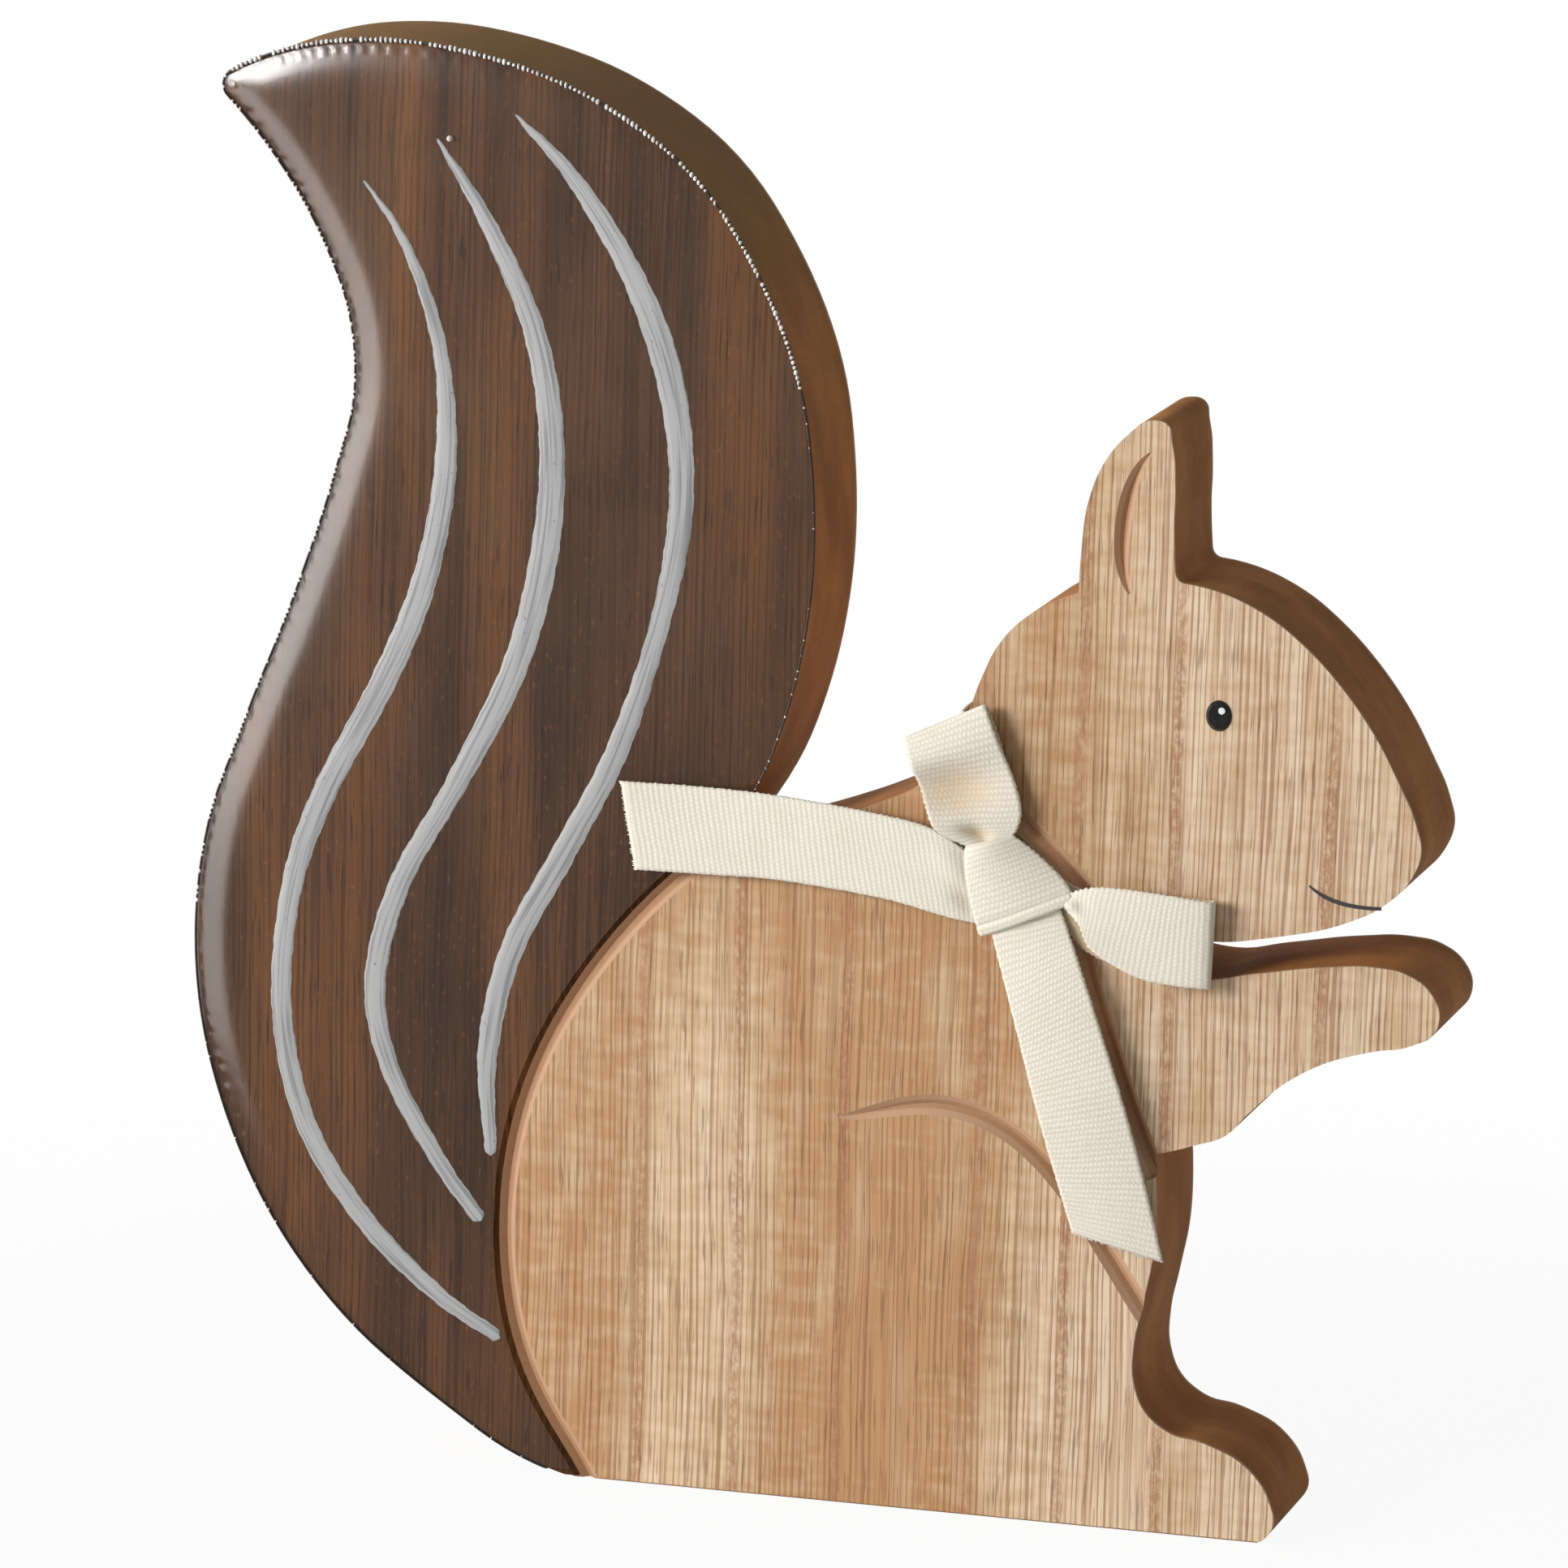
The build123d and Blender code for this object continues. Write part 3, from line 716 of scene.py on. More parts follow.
class GeometryTree(NodeTree):
    """One node group that makes a shape from a shape."""

    def __init__(self, name: str, inputs: dict[str, str]) -> None:
        """Make a group with named inputs.

        Args:
            name: The group's name.
            inputs: Kinds of socket by name.
        """
        self.group = bpy.data.node_groups.new(name, "GeometryNodeTree")
        super().__init__(self.group)
        self.keys: dict[str, str] = {}
        sockets = self.group.interface
        sockets.new_socket("Geometry", in_out="INPUT", socket_type="NodeSocketGeometry")
        for label, kind in inputs.items():
            socket = sockets.new_socket(label, in_out="INPUT", socket_type=f"NodeSocket{kind}")
            self.keys[label] = socket.identifier
        sockets.new_socket("Geometry", in_out="OUTPUT", socket_type="NodeSocketGeometry")
        self.given = self.nodes.new("NodeGroupInput").outputs

    def curve(self) -> bpy.types.NodeSocket:
        """Turn the given lines into curves."""
        return self.add("GeometryNodeMeshToCurve", {}, {"Mesh": self.given["Geometry"]})["Curve"]

    def balls(
        self, curve: bpy.types.NodeSocket, radius: str, detail: int, low: Any, high: Any, chosen: Any = True
    ) -> bpy.types.NodeSocket:
        """Set stretched balls along a curve, as real faces.

        Args:
            curve: The curve.
            radius: Name of the input that holds the radius.
            detail: How finely a ball is divided.
            low: Least stretch.
            high: Most stretch.
            chosen: Which places get a ball.

        Returns:
            The balls.
        """
        given, add = self.given, self.add
        along = {"Curve": curve, "Length": given["Spacing"]}
        points = add("GeometryNodeCurveToPoints", {"mode": "LENGTH"}, along)["Points"]
        limits = {0: low, 1: high, "Seed": given["Seed"]}
        stretch = add("FunctionNodeRandomValue", {"data_type": "FLOAT_VECTOR"}, limits)[0]
        size = {"Radius": given[radius], "Subdivisions": detail}
        ball = add("GeometryNodeMeshIcoSphere", {}, size)["Mesh"]
        smooth = add("GeometryNodeSetShadeSmooth", {}, {0: ball})[0]
        spread = {"Points": points, "Selection": chosen, "Instance": smooth, "Scale": stretch}
        copies = add("GeometryNodeInstanceOnPoints", {}, spread)["Instances"]
        return add("GeometryNodeRealizeInstances", {}, {0: copies})[0]

    def clothe(self, shape: bpy.types.NodeSocket, material: str) -> bpy.types.NodeSocket:
        """Give a shape the material that an input holds."""
        return self.add("GeometryNodeSetMaterial", {}, {0: shape, "Material": self.given[material]})[0]

    def close(self, shape: bpy.types.NodeSocket) -> None:
        """Join a shape to the group's output."""
        self.add("NodeGroupOutput", {}, {0: shape})

    def apply(self, piece: bpy.types.Object, values: dict[str, Any]) -> None:
        """Run the group on a piece and keep what it makes.

        Args:
            piece: The piece.
            values: Input values by name.
        """
        modifier = piece.modifiers.new(self.group.name, "NODES")
        modifier.node_group = self.group
        for label, value in values.items():
            modifier[self.keys[label]] = value
        graph = bpy.context.evaluated_depsgraph_get()
        made = bpy.data.meshes.new_from_object(piece.evaluated_get(graph))
        piece.modifiers.remove(modifier)
        piece.data = made


class RimBeads(GeometryTree):
    """Beads along a stretch of the coat's rim, near-white as painted glints, and a dark tube of painted shade
    along the rim.
    """

    def __init__(self) -> None:
        """Build the group."""
        inputs = dict.fromkeys(("Spacing", "Share", "Bead", "Line"), "Float")
        super().__init__("rim_beads", inputs | {"Seed": "Int", "GlintWhite": "Material", "RimShade": "Material"})
        curve = self.curve()
        picks = {"Probability": self.given["Share"], "Seed": self.given["Seed"]}
        chosen = self.add("FunctionNodeRandomValue", {"data_type": "BOOLEAN"}, picks)[3]
        pale = self.clothe(self.balls(curve, "Bead", 2, (0.6, 0.9, 0.8), (1.1, 1.6, 1.7), chosen), "GlintWhite")
        round_line = {"Resolution": 6, "Radius": self.given["Line"]}
        ring = self.add("GeometryNodeCurvePrimitiveCircle", {}, round_line)["Curve"]
        tube = self.add("GeometryNodeCurveToMesh", {}, {"Curve": curve, "Profile Curve": ring})["Mesh"]
        dark = self.clothe(tube, "RimShade")
        join = self.nodes.new("GeometryNodeJoinGeometry")
        for shape in (pale, dark):
            self.links.new(shape, join.inputs[0])
        self.close(join.outputs[0])


class EdgeYarns(GeometryTree):
    """Small stretched balls of yarn, set along a line."""

    def __init__(self) -> None:
        """Build the group."""
        inputs = {"Spacing": "Float", "Yarn": "Float", "Low": "Vector", "High": "Vector"}
        super().__init__("edge_yarns", inputs | {"Seed": "Int", "Cloth": "Material"})
        balls = self.balls(self.curve(), "Yarn", 1, self.given["Low"], self.given["High"])
        self.close(self.clothe(balls, "Cloth"))


@dataclass(frozen=True)
class BeadRun:
    """How the beads, near-white as painted glints, and the dark line of painted shade lie along one stretch
    of the coat's rim.
    """

    name: str
    spacing_mm: float
    share: float
    bead_mm: float
    line_mm: float


@dataclass
class TailCoat:
    """The poured coat on the tail: a dome that falls off to a rounded rim, with beads along it and one
    trapped bubble, near-white as painted glints.
    """

    node: str = "resin_coat"
    near_mm: float = 0.02
    weld_per_mm: int = 200
    rise_mm: float = 1.3
    lip_mm: float = 0.25
    lip_share: float = 0.26
    rim_mm: float = 0.03
    shoulder_mm: float = 9.0
    edge_mm: float = 0.5
    grid_mm: float = 1.2
    rows_mm: tuple[float, ...] = (0.05, 0.12, 0.25, 0.5, 0.9, 1.4, 2.0, 2.7, 3.5, 4.4, 5.4, 6.5)
    sparse_mm: float = 2.0
    clear_share: float = 0.93
    lift_mm: float = 0.02
    evenings: int = 4
    evened_above: float = 0.45
    notch_mm: tuple[float, float] = (-28.0, 83.7)
    bubble_mm: tuple[float, float] = (-63.9, 168.3)
    bead_stand_mm: float = 0.3
    heel_mm: float = 70.0
    top_mm: float = 140.0

    def rim(self) -> list[Vector]:
        """Read the coat's outer edge from its solid.

        Returns:
            Points of the edge in millimetres, as x and z.
        """
        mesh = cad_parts[self.node].data
        places: dict[tuple[int, int], int] = {}
        spots: list[Vector] = []
        uses: dict[tuple[int, int], int] = {}
        for face in mesh.polygons:
            corners = [mesh.vertices[i].co / MM for i in face.vertices]
            if any(abs(c.y - FACE_Y) > self.near_mm for c in corners):
                continue
            names = []
            for corner in corners:
                key = (round(corner.x * self.weld_per_mm), round(corner.z * self.weld_per_mm))
                if key not in places:
                    places[key] = len(spots)
                    spots.append(Vector((corner.x, corner.z)))
                names.append(places[key])
            for a, b in zip(names, names[1:] + names[:1]):
                side = (min(a, b), max(a, b))
                uses[side] = uses.get(side, 0) + 1
        joins: dict[int, list[int]] = {}
        for (a, b), count in uses.items():
            if count == 1:
                joins.setdefault(a, []).append(b)
                joins.setdefault(b, []).append(a)
        start = min(joins, key=lambda i: spots[i].x)
        loop = [start]
        before, now = start, joins[start][0]
        while now != start:
            loop.append(now)
            following = [n for n in joins[now] if n != before]
            before, now = now, following[0]
        return [spots[i] for i in loop]

    def even(self, loop: list[Vector], spacing: float) -> list[Vector]:
        """Space points evenly round a loop.

        Args:
            loop: Points of a closed loop.
            spacing: Distance wanted.

        Returns:
            Evenly spaced points.
        """
        closed = [*loop, loop[0]]
        total = sum((b - a).length for a, b in zip(closed, closed[1:]))
        count = max(8, round(total / spacing))
        made: list[Vector] = []
        walked = 0.0
        for a, b in zip(closed, closed[1:]):
            length = (b - a).length
            while len(made) < count and len(made) * total / count < walked + length:
                made.append(a.lerp(b, (len(made) * total / count - walked) / length))
            walked += length
        return made

    def height(self, depth: float) -> float:
        """Give the coat's height at a distance from its rim."""
        share = min(depth / self.shoulder_mm, 1.0)
        lip = self.lip_share * min(depth / self.lip_mm, 1.0) ** 0.5
        return self.rise_mm * (lip + (1 - self.lip_share) * (1 - (1 - share) ** 3))

    def build(self) -> None:
        """Make the coat."""
        edge = self.even(self.rim(), self.edge_mm)
        area = sum(a.x * b.y - b.x * a.y for a, b in zip(edge, edge[1:] + edge[:1]))
        if area < 0:
            edge.reverse()
        fine = self.even(edge, self.edge_mm / 4)
        tree = KDTree(len(fine))
        for index, spot in enumerate(fine):
            tree.insert((spot.x, spot.y, 0.0), index)
        tree.balance()

        def depth(spot: Vector) -> float:
            """Give the distance from the rim."""
            return tree.find((spot.x, spot.y, 0.0))[2]

        spots = list(edge)
        count = len(edge)
        for row, inset in enumerate(self.rows_mm):
            skip = 1 if inset < self.sparse_mm else 2
            for index in range(row % skip, count, skip):
                run = edge[(index + 1) % count] - edge[index - 1]
                inward = Vector((-run.y, run.x)).normalized()
                spot = edge[index] + inward * inset
                if depth(spot) > inset * self.clear_share:
                    spots.append(spot)
        low_x, high_x = min(s.x for s in edge), max(s.x for s in edge)
        low_z, high_z = min(s.y for s in edge), max(s.y for s in edge)
        deepest = self.rows_mm[-1] + self.grid_mm * 0.6
        for i in range(int((high_x - low_x) / self.grid_mm) + 1):
            for j in range(int((high_z - low_z) / self.grid_mm) + 1):
                spot = Vector((low_x + (i + 0.5 * (j % 2)) * self.grid_mm, low_z + j * self.grid_mm))
                if self.inside(spot, edge) and depth(spot) > deepest:
                    spots.append(spot)
        made = delaunay_2d_cdt(spots, [(i, (i + 1) % count) for i in range(count)], [], 1, 1e-6)
        verts = []
        for spot in made[0]:
            rise = self.height(depth(spot)) if depth(spot) > self.rim_mm else 0.0
            verts.append((spot.x, FACE_Y - self.lift_mm - rise, spot.y))
        faces = [tuple(f) for f in made[2]]
        verts = self.flow([Vector(v) for v in verts], faces)
        piece = make_object("tail_coat", verts, faces, ResinFinish().build())
        self.trim(edge)
        settle(piece, Slot.RESIN, self.node)

    def flow(self, verts: list[Vector], faces: list[tuple[int, ...]]) -> list[Vector]:
        """Let the coat's height even out, away from its rim.

        Args:
            verts: Points of the coat.
            faces: Its faces.

        Returns:
            The points with evened heights.
        """
        beside: list[set[int]] = [set() for _ in verts]
        for face in faces:
            for a, b in zip(face, face[1:] + face[:1]):
                beside[a].add(b)
                beside[b].add(a)
        low = FACE_Y - self.lift_mm - self.rise_mm * self.evened_above
        free = [i for i, v in enumerate(verts) if v.y < low]
        for _ in range(self.evenings):
            heights = [v.y for v in verts]
            for i in free:
                mean = sum(heights[j] for j in beside[i]) / len(beside[i])
                verts[i].y = (heights[i] + mean) / 2
        return verts

    def stretch(self, edge: list[Vector], start: int, end: int, avoid: int) -> list[Vector]:
        """Take the stretch of the rim between two places, on the side that leaves out a third.

        Args:
            edge: The closed rim.
            start: Number of the first place.
            end: Number of the last place.
            avoid: Number of the place left out.

        Returns:
            The points from first to last.
        """
        count = len(edge)
        ahead = [(start + i) % count for i in range((end - start) % count + 1)]
        if avoid in ahead:
            ahead = [(start - i) % count for i in range((start - end) % count + 1)]
        return [edge[i] for i in ahead]

    def trim(self, edge: list[Vector]) -> None:
        """Lay the dark line of painted shade and the beads, near-white as painted glints, along the open rim.

        Args:
            edge: The closed rim.
        """
        numbers = range(len(edge))
        tip = min(numbers, key=lambda i: edge[i].x - edge[i].y)
        heel = min(numbers, key=lambda i: edge[i].y)
        notch = min(numbers, key=lambda i: (edge[i] - Vector(self.notch_mm)).length)
        left = self.stretch(edge, heel, tip, notch)
        right = self.stretch(edge, tip, notch, heel)
        beads = RimBeads()
        # Painted glints: the beads and the bubble are near-white resin.
        glint_white = PlainFinish("painted_glint_white", linear(250, 248, 244), linear(214, 208, 200), 0.12).build()
        # The dark tube is painted shade of the coat's rounded rim.
        rim_shade = PlainFinish("painted_rim_shade", linear(34, 25, 19), linear(58, 42, 30), 0.35).build()
        bubble = Vector(self.bubble_mm)
        runs = (
            (BeadRun("coat_beads_left", 0.7, 0.6, 0.2, 0.14), [p for p in left if p.y > self.heel_mm]),
            (BeadRun("coat_beads_heel", 0.9, 0.15, 0.13, 0.13), [p for p in left if p.y <= self.heel_mm]),
            (BeadRun("coat_beads_top", 0.64, 0.92, 0.25, 0.17), [p for p in right if p.y > self.top_mm]),
            (BeadRun("coat_beads_right", 1.0, 0.35, 0.13, 0.13), [p for p in right if p.y <= self.top_mm]),
            (BeadRun("coat_bubble", 0.5, 1.0, 0.42, 0.05), [bubble, bubble + Vector((0.3, 0.0))]),
        )
        for seed, (look, run) in enumerate(runs):
            piece = make_line(look.name, [[Vector((p.x, FACE_Y - self.bead_stand_mm, p.y)) for p in run]])
            sizes = {"Spacing": look.spacing_mm, "Bead": look.bead_mm, "Line": look.line_mm}
            values = {label: size * MM for label, size in sizes.items()}
            beads.apply(piece, values | {"Share": look.share, "Seed": seed, "GlintWhite": glint_white, "RimShade": rim_shade})
            settle(piece, Slot.RESIN)

    def inside(self, spot: Vector, edge: list[Vector]) -> bool:
        """Say whether a place is inside the edge.

        Args:
            spot: The place.
            edge: The closed edge.

        Returns:
            True if it is inside.
        """
        found = False
        for a, b in zip(edge, edge[1:] + edge[:1]):
            if (a.y > spot.y) != (b.y > spot.y) and spot.x < (b.x - a.x) * (spot.y - a.y) / (b.y - a.y) + a.x:
                found = not found
        return found


@dataclass
class Stripe:
    """One brushed stroke on the tail, pointed at its top."""

    node: str
    line_mm: tuple[tuple[float, float], ...]
    widths_mm: tuple[float, ...]
    seed: float
    rise_mm: float = 0.12
    lift_mm: float = 0.015
    end_mm: float = 0.7
    rough_mm: float = 0.1
    across: int = 8
    steps: int = 28

    def width(self, share: float) -> float:
        """Give the stroke's width at a share of its length."""
        place = min(share, 0.9999) * (len(self.widths_mm) - 1)
        index = int(place)
        part = place - index
        part = part**0.65 if index == 0 else part * part * (3 - 2 * part)
        return self.widths_mm[index] * (1 - part) + self.widths_mm[index + 1] * part

    def build(self, material: bpy.types.Material) -> None:
        """Make the stroke.

        Args:
            material: The paint.
        """
        line = smooth_line([Vector((x, 0, z)) for x, z in self.line_mm], self.steps)
        length = sum((b - a).length for a, b in zip(line, line[1:]))
        verts: list[Point] = []
        uvs: list[tuple[float, float]] = []
        walked = 0.0
        for index, spot in enumerate(line):
            before, after = line[max(index - 1, 0)], line[min(index + 1, len(line) - 1)]
            run = (after - before).normalized()
            side = Vector((run.z, 0, -run.x))
            share = walked / length
            left = max(1.0 - share, 0.0) * length
            half = self.width(share) / 2 * min(1.0, (left / self.end_mm) ** 0.5 + 0.02)
            for step in range(self.across + 1):
                t = step / self.across * 2 - 1
                rough = self.rough_mm * ripple(self.seed + (1 if t > 0 else 5), walked * 0.9) * abs(t) ** 3
                place = spot + side * (t * half + rough * (1 if t > 0 else -1))
                crown = self.rise_mm * (1 - abs(t) ** 4)
                verts.append((place.x, FACE_Y - self.lift_mm - crown, place.z))
                uvs.append(((t * half + self.seed * 3) / LAY_MM, (walked + self.seed * 40) / LAY_MM))
            walked += (after - spot).length
        faces = strip_faces(len(line), self.across)
        piece = make_object(self.node.replace("stripe", "brushed_stripe"), verts, faces, material, uvs)
        settle(piece, Slot.STRIPE, self.node)


@dataclass(frozen=True)
class Fold:
    """A soft rise or dip in a tape, placed by shares of its length and width."""

    at: float
    across_at: float
    reach: float
    spread: float
    rise_mm: float

    def rise(self, along: float, across: float) -> float:
        """Give how far the fold lifts the tape at one place."""
        away = ((along - self.at) / self.reach) ** 2
        aside = ((across - self.across_at) / self.spread) ** 2
        return self.rise_mm * math.exp(-away - aside)


@dataclass(frozen=True)
class YarnRun:
    """How the yarns lie along one kind of edge."""

    name: str
    spacing_mm: float
    yarn_mm: float
    low: Point
    high: Point


@dataclass
class Tape:
    """One length of tape between two edges that run side by side."""

    name: str
    node: str
    first_edge: tuple[Point, ...]
    second_edge: tuple[Point, ...]
    held: Held
    rests_on: tuple[str, ...]
    seed: float
    folds: tuple[Fold, ...] = ()
    crown_mm: float = 0.0
    turned: float = 2.0
    selvedge: bool = True
    fray: Point | None = None
    width_mm: float = 10.4
    thickness_mm: float = 0.42
    hollow_mm: float = 1.6
    rough_mm: float = 0.06
    inset: float = 0.3
    across: int = 26
    steps: int = 16

    def lay(self) -> tuple[list[Vector], list[tuple[float, float]], list[float], float]:
        """Lay the tape out between its edges.

        Returns:
            Points, map places, how deep each point lies in a hollow of painted shade, and the tape's length.
        """
        first = smooth_line([Vector(p) for p in self.first_edge], self.steps)
        second = smooth_line([Vector(p) for p in self.second_edge], self.steps)
        verts: list[Vector] = []
        uvs: list[tuple[float, float]] = []
        hollow_shades: list[float] = []
        walked = 0.0
        count = len(first)
        for index, (a, b) in enumerate(zip(first, second)):
            if index:
                walked += ((a - first[index - 1]).length + (b - second[index - 1]).length) / 2
            share = index / (count - 1)
            for step in range(self.across + 1):
                t = step / self.across
                spot = a.lerp(b, t)
                swell = self.crown_mm * (1 - (2 * t - 1) ** 2)
                # The turned inner layer and the dips of folds get painted shade.
                hollow = 1.0 if share > self.turned else 0.0
                for fold in self.folds:
                    rise = fold.rise(share, t)
                    hollow += max(-rise / self.hollow_mm, 0.0)
                    swell += rise
                hollow_shades.append(hollow)
                spot = spot + Vector((0, -swell, 0))
                edge = self.rough_mm * ripple(self.seed + t, walked * 3.2) * abs(2 * t - 1) ** 6
                spot = spot + (b - a).normalized() * (edge if t > 0.5 else -edge)
                verts.append(spot)
                uvs.append(((t - 0.5) * self.width_mm / LAY_MM, walked / LAY_MM))
        return verts, uvs, hollow_shades, walked

    def build(self, material: bpy.types.Material, yarns: EdgeYarns) -> None:
        """Make the tape.

        Args:
            material: The cloth.
            yarns: The group that lays its edge yarns.
        """
        verts, uvs, hollow_shades, length = self.lay()
        faces = strip_faces(len(verts) // (self.across + 1), self.across, turned=True)
        piece = make_object(self.name, verts, faces, material, uvs)
        piece.data.attributes.new("Hollow", "FLOAT", "POINT").data.foreach_set("value", hollow_shades)
        self.border(verts, material, yarns)
        wall = piece.modifiers.new("cloth", "SOLIDIFY")
        wall.thickness = self.thickness_mm * MM
        wall.offset = 0.0
        area = sum(p.area for p in piece.data.polygons)
        settle(piece, Slot.TAPE, self.node)
        flat = (self.width_mm * MM, length * MM)
        ratio = area / (flat[0] * flat[1])
        area if ratio < 1 else None
        LOG.info("%s is %.1f mm long, area share %.2f", self.name, length, ratio)

    def border(self, verts: list[Vector], material: bpy.types.Material, yarns: EdgeYarns) -> None:
        """Lay the turning yarns along both selvedges, and loose threads at a cut end.

        Args:
            verts: Points of the tape, row by row.
            material: The cloth.
            yarns: The group that lays them.
        """
        wide = self.across + 1
        sides = ((0, 1), (wide - 1, wide - 2))
        edges = [[a.lerp(b, self.inset) for a, b in zip(verts[i::wide], verts[j::wide])] for i, j in sides]
        kinds: list[tuple[YarnRun, list[list[Vector]]]] = []
        if self.selvedge:
            kinds.append((YarnRun("selvedge", 0.72, 0.25, (0.9, 0.9, 0.9), (1.15, 1.0, 1.15)), edges))
        if self.fray is not None:
            kinds.append((YarnRun("fray", 0.26, 0.11, (0.9, 0.7, 0.9), self.fray), [verts[-wide:]]))
        for look, runs in kinds:
            piece = make_line(f"{self.name}_{look.name}", runs)
            sizes = {"Spacing": look.spacing_mm * MM, "Yarn": look.yarn_mm * MM}
            values = sizes | {"Low": look.low, "High": look.high}
            yarns.apply(piece, values | {"Seed": round(self.seed), "Cloth": material})
            settle(piece, Slot.TAPE)


def off(x: float, z: float, stand: float) -> Point:
    """Give the point at a front-view place that stands off the face."""
    return x, FACE_Y - stand, z


TAPES: tuple[Tape, ...] = (
    Tape(
        "tape_neck_band",
        "ribbon_neck_band",
        ((9.5, -10.65, 86.0), (4.3, -10.7, 100.2), (3.4, -10.3, 101.9), (3.4, 0.0, 101.9),
         (3.4, 10.3, 101.9), (4.6, 10.6, 100.2), (12.0, 10.6, 89.6), (20.0, 10.6, 80.4),
         (21.3, 10.2, 79.2), (21.3, 0.0, 79.2), (21.3, -10.2, 79.2), (20.0, -10.6, 80.2),
         (16.6, -10.6, 81.6)),
        ((5.5, -10.65, 80.5), (-0.4, -10.7, 92.8), (-1.5, -10.3, 93.6), (-1.5, 0.0, 93.6),
         (-1.5, 10.3, 93.6), (0.2, 10.6, 92.4), (9.6, 10.6, 84.6), (19.6, 10.6, 78.4),
         (20.6, 10.2, 77.9), (20.6, 0.0, 77.9), (20.6, -10.2, 77.9), (19.4, -10.6, 78.4),
         (15.2, -10.6, 79.6)),
        Held.STRETCHED,
        ("core_board", "back_veneer"),
        seed=6.0,
        selvedge=False,
    ),
    Tape(
        "tape_left_tail",
        "ribbon_left_tail",
        (off(5.0, 84.2, 1.7), off(0.0, 87.2, 2.3), off(-8.0, 88.6, 2.3), off(-20.3, 89.7, 1.95),
         off(-30.0, 90.0, 1.85), off(-39.6, 90.0, 2.3)),
        (off(6.2, 75.6, 1.7), off(2.0, 76.3, 2.0), off(-6.0, 77.9, 1.9), off(-19.0, 79.1, 1.8),
         off(-28.0, 79.1, 1.85), off(-37.6, 79.0, 2.0)),
        Held.LAID,
        ("tail_coat", "body_veneer"),
        seed=1.0,
        folds=(Fold(0.10, 0.35, 0.10, 0.22, 0.5), Fold(0.06, 0.75, 0.08, 0.16, -0.5)),
        fray=(4.0, 0.9, 1.0),
    ),
    Tape(
        "tape_lower_tail",
        "ribbon_lower_tail",
        (off(6.6, 79.6, 1.6), off(8.2, 74.6, 2.3), off(11.4, 64.8, 3.4), off(14.8, 53.0, 3.4),
         off(17.5, 43.6, 2.2), off(19.2, 37.8, 1.4)),
        (off(14.6, 82.4, 1.5), off(17.1, 77.2, 2.1), off(20.2, 70.0, 3.3), off(25.3, 56.0, 3.6),
         off(28.5, 44.4, 2.3), off(30.6, 35.0, 1.0)),
        Held.HUNG,
        ("body_veneer",),
        seed=2.0,
        folds=(Fold(0.05, 0.3, 0.08, 0.2, 0.4),),
        crown_mm=0.25,
        fray=(1.6, 0.9, 4.0),
    ),
    Tape(
        "tape_right_loop",
        "ribbon_right_loop",
        (off(16.4, 79.2, 1.6), off(18.9, 80.9, 2.5), off(22.6, 81.7, 3.1), off(29.0, 81.5, 3.4),
         off(34.8, 81.0, 3.3), off(35.9, 80.9, 2.3), off(34.6, 80.8, 1.35), off(28.0, 80.6, 1.2),
         off(20.5, 79.9, 1.2), off(16.6, 78.7, 1.3)),
        (off(16.8, 78.9, 1.9), off(19.3, 77.0, 3.3), off(21.2, 73.9, 3.8), off(27.4, 70.9, 3.8),
         off(34.7, 70.2, 3.5), off(35.6, 70.2, 2.3), off(34.2, 70.3, 1.45), off(25.8, 71.3, 1.3),
         off(20.0, 73.2, 1.4), off(17.0, 76.3, 1.3)),
        Held.FOLDED,
        ("head_veneer", "arm_veneer"),
        seed=3.0,
        folds=(Fold(0.06, 0.5, 0.05, 0.25, 0.8),),
        turned=0.62,
    ),
    Tape(
        "tape_upper_loop",
        "ribbon_upper_loop",
        (off(5.2, 85.2, 2.2), off(1.2, 87.0, 3.2), off(-0.2, 89.2, 3.6), off(-1.5, 92.4, 2.9),
         off(-2.5, 95.4, 3.5), off(-3.3, 97.6, 2.9), off(-3.5, 98.1, 2.0), off(-3.0, 97.3, 1.3),
         off(-1.6, 93.0, 1.2), off(0.4, 88.6, 1.2), off(5.2, 85.0, 1.3)),
        (off(9.8, 86.4, 1.8), off(11.0, 88.2, 2.0), off(11.3, 90.6, 2.2), off(10.1, 94.4, 2.1),
         off(8.3, 98.8, 2.6), off(6.8, 102.3, 2.6), off(6.4, 103.0, 2.0), off(6.8, 102.0, 1.3),
         off(8.4, 97.8, 1.2), off(10.0, 91.6, 1.2), off(9.4, 86.6, 1.3)),
        Held.FOLDED,
        ("head_veneer", "body_veneer"),
        seed=4.0,
        folds=(Fold(0.07, 0.42, 0.06, 0.16, -1.3), Fold(0.27, 0.36, 0.08, 0.42, -1.25),
               Fold(0.40, 0.5, 0.06, 0.6, 0.5)),
        turned=0.66,
    ),
    Tape(
        "tape_knot",
        "ribbon_knot",
        (off(5.4, 85.2, 1.5), off(4.6, 85.0, 2.6), off(4.9, 81.6, 3.1), off(5.9, 77.2, 3.1),
         off(6.7, 74.5, 2.6), off(7.2, 75.0, 1.5)),
        (off(9.6, 86.2, 1.2), off(10.4, 86.9, 1.9), off(13.5, 84.8, 1.6), off(17.1, 81.8, 1.9),
         off(18.3, 79.6, 2.5), off(17.2, 79.2, 1.4)),
        Held.FOLDED,
        ("tape_left_tail", "tape_lower_tail"),
        seed=5.0,
        folds=(Fold(0.70, 0.5, 0.025, 2.0, -0.22),),
        crown_mm=0.9,
    ),
)


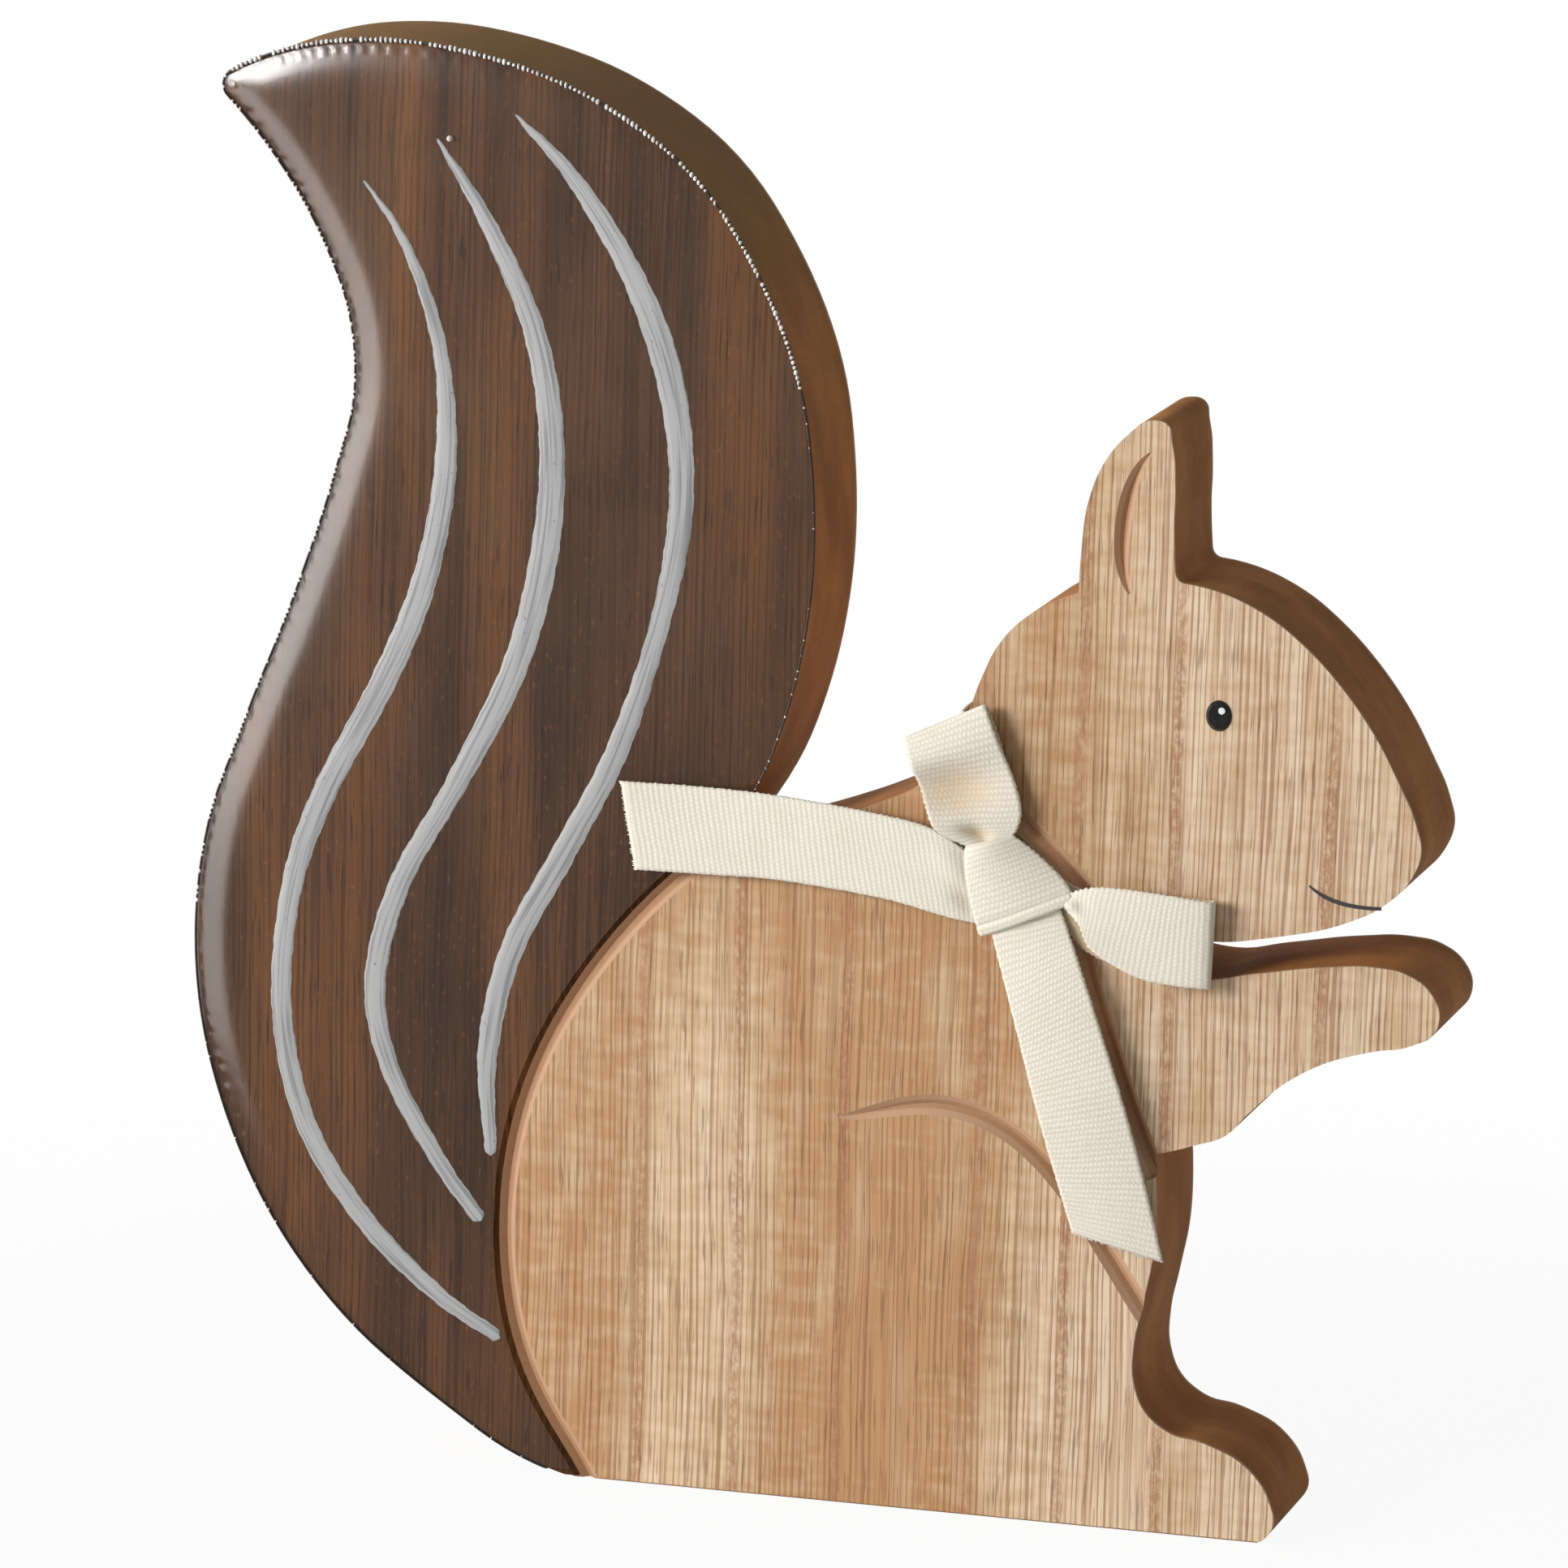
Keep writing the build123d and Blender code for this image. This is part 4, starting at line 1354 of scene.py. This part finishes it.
@dataclass
class Bow:
    """The tape tied round the neck: band, knot, two loops and two tails."""

    runs: tuple[Tape, ...] = TAPES

    def build(self) -> None:
        """Make every length of tape, from the band outwards."""
        cloth = TapeFinish().build()
        yarns = EdgeYarns()
        for run in self.runs:
            run.build(cloth, yarns)


@dataclass
class Face:
    """The painted eye with its glint, and the mouth."""

    def dress(self) -> None:
        """Give the eye, the glint and the mouth their paints."""
        black = PlainFinish("eye_paint", linear(12, 12, 14), linear(30, 31, 34), 0.18).build()
        line = PlainFinish("mouth_paint", linear(38, 33, 32), linear(58, 50, 46), 0.5).build()
        white = PlainFinish("glint_paint", linear(236, 238, 240), linear(220, 223, 226), 0.3).build()
        for node, material in (("eye", black), ("eye_glint", white), ("mouth_line", line)):
            dress(node, material)


@dataclass(frozen=True)
class Lamp:
    """One soft lamp, which the camera doesn't see."""

    name: str
    place_m: Point
    size_m: tuple[float, float]
    power_w: float
    tint: Colour
    on_matt: bool = True
    in_gloss: bool = True

    def hang(self, aim_m: Point) -> None:
        """Hang the lamp so that it faces a place.

        Args:
            aim_m: The place, in metres.
        """
        data = bpy.data.lights.new(self.name, "AREA")
        data.shape = "RECTANGLE"
        data.size, data.size_y = self.size_m
        data.energy = self.power_w
        data.color = self.tint
        made = link(self.name, data)
        made.location = self.place_m
        aim = Vector(aim_m) - Vector(self.place_m)
        made.rotation_mode = "QUATERNION"
        made.rotation_quaternion = aim.to_track_quat("-Z", "Y")
        made.visible_camera = False
        made.visible_diffuse = self.on_matt
        made.visible_glossy = self.in_gloss


@dataclass
class Studio:
    """Camera, lamps, floor and pale surroundings."""

    azimuth: float = 15.32
    elevation: float = 11.34
    roll: float = 1.43
    target_mm: Point = (-19.4, -10.0, 90.8)
    distance_mm: float = 1260.7
    focal_px: float = 12607.0
    image_px: float = 1932.0
    sensor_mm: float = 36.0
    aim_m: Point = (-0.015, 0.0, 0.09)
    lamps: tuple[Lamp, ...] = (
        Lamp("key_softbox", (-0.85, -0.95, 0.42), (0.62, 0.45), 14.5, (1.0, 0.985, 0.96)),
        Lamp("side_softbox", (-1.05, -0.30, 0.15), (0.5, 0.9), 5.0, (1.0, 1.0, 1.0)),
        Lamp("back_softbox", (-0.55, 1.25, 0.30), (0.8, 0.8), 7.0, (1.0, 0.99, 0.97), in_gloss=False),
        Lamp("edge_card", (-0.70, -0.78, 0.12), (0.28, 0.76), 6.6, (1.0, 0.97, 0.94), on_matt=False),
        Lamp("tip_card", (-0.60, -1.01, 0.43), (0.13, 0.26), 2.8, (0.97, 0.98, 1.0), on_matt=False),
    )
    ambient: float = 0.24
    mirrored: float = 0.38
    floor_reach_m: tuple[float, float, float, float] = (-0.60, 0.60, -0.60, 0.60)

    def camera(self) -> None:
        """Set the camera where the photograph was taken from."""
        a, e, r = (math.radians(v) for v in (self.azimuth, self.elevation, self.roll))
        back = Vector((math.sin(a) * math.cos(e), -math.cos(a) * math.cos(e), math.sin(e)))
        right = Vector((math.cos(a), math.sin(a), 0.0))
        up = back.cross(right)
        tilted = right * math.cos(r) + up * math.sin(r)
        top = up * math.cos(r) - right * math.sin(r)
        turn = Matrix((tilted, top, back)).transposed().to_4x4()
        data = bpy.data.cameras.new("camera")
        data.sensor_width = self.sensor_mm
        data.lens = self.sensor_mm * self.focal_px / self.image_px
        data.clip_start = 0.05
        data.clip_end = 20.0
        made = link("camera", data)
        place = (Vector(self.target_mm) + back * self.distance_mm) * MM
        made.matrix_world = Matrix.Translation(place) @ turn
        bpy.context.scene.camera = made

    def floor(self) -> None:
        """Lay the pale floor, which isn't mirrored in the coat."""
        left, right, front, back = (v / MM for v in self.floor_reach_m)
        corners = [(left, front, 0.0), (right, front, 0.0), (right, back, 0.0), (left, back, 0.0)]
        made = make_object("floor", corners, [(0, 1, 2, 3)], FloorFinish().build())
        made.visible_glossy = False

    def surroundings(self) -> None:
        """Set the world: white where it is seen, soft and low as light and in reflections."""
        world = bpy.data.worlds.new("surroundings")
        bpy.context.scene.world = world
        tree = ShaderTree(world)
        level: Any = self.ambient
        for ray, seen in (("Is Glossy Ray", self.mirrored), ("Is Camera Ray", 1.0)):
            share = tree.node("ShaderNodeLightPath", {}, {}, ray)
            level = share * (seen - level) + level
        back = tree.node("ShaderNodeBackground", {}, {"Color": (1.0, 1.0, 1.0), "Strength": level})
        tree.close(back, "ShaderNodeOutputWorld")

    def build(self) -> None:
        """Set up the studio."""
        bpy.context.scene.view_settings.view_transform = "Standard"
        self.camera()
        for lamp in self.lamps:
            lamp.hang(self.aim_m)
        self.floor()
        self.surroundings()


STRIPES: tuple[Stripe, ...] = (
    Stripe(
        "stripe_outer",
        ((-75.0, 162.4), (-70.3, 156.2), (-66.2, 147.1), (-64.0, 137.0), (-64.0, 124.9), (-66.6, 111.8),
         (-71.5, 99.5), (-78.9, 85.0), (-83.0, 72.4), (-84.0, 57.1), (-80.6, 42.7), (-72.6, 30.8),
         (-62.9, 22.1), (-54.5, 17.1)),
        (0.2, 1.85, 2.95, 3.3, 3.1, 2.6, 2.7, 2.6, 1.7),
        seed=1.0,
    ),
    Stripe(
        "stripe_middle",
        ((-65.6, 168.1), (-58.9, 158.0), (-52.7, 145.1), (-50.2, 131.9), (-50.7, 118.1), (-54.3, 103.0),
         (-61.8, 87.3), (-68.7, 74.5), (-71.8, 61.6), (-69.6, 50.6), (-63.1, 39.4), (-57.3, 32.0)),
        (0.2, 2.6, 3.2, 3.6, 3.2, 2.65, 2.8, 2.4, 1.9),
        seed=2.0,
    ),
    Stripe(
        "stripe_inner",
        ((-55.6, 171.7), (-47.8, 164.0), (-39.8, 151.9), (-34.9, 139.0), (-33.4, 124.9), (-35.7, 110.0),
         (-40.8, 93.6), (-47.3, 80.3), (-54.0, 67.1), (-56.9, 53.6), (-56.2, 40.5)),
        (0.2, 2.65, 3.5, 3.15, 2.5, 2.9, 3.1, 2.8, 1.6),
        seed=3.0,
    ),
)


def main() -> None:
    """Build every sub-assembly in order."""
    logging.basicConfig(level=logging.INFO, format="%(name)s: %(message)s")
    Board().dress()
    paint = StripeFinish().build()
    for stripe in STRIPES:
        stripe.build(paint)
    TailCoat().build()
    Face().dress()
    Bow().build()
    Studio().build()


if __name__ == "__main__":
    main()
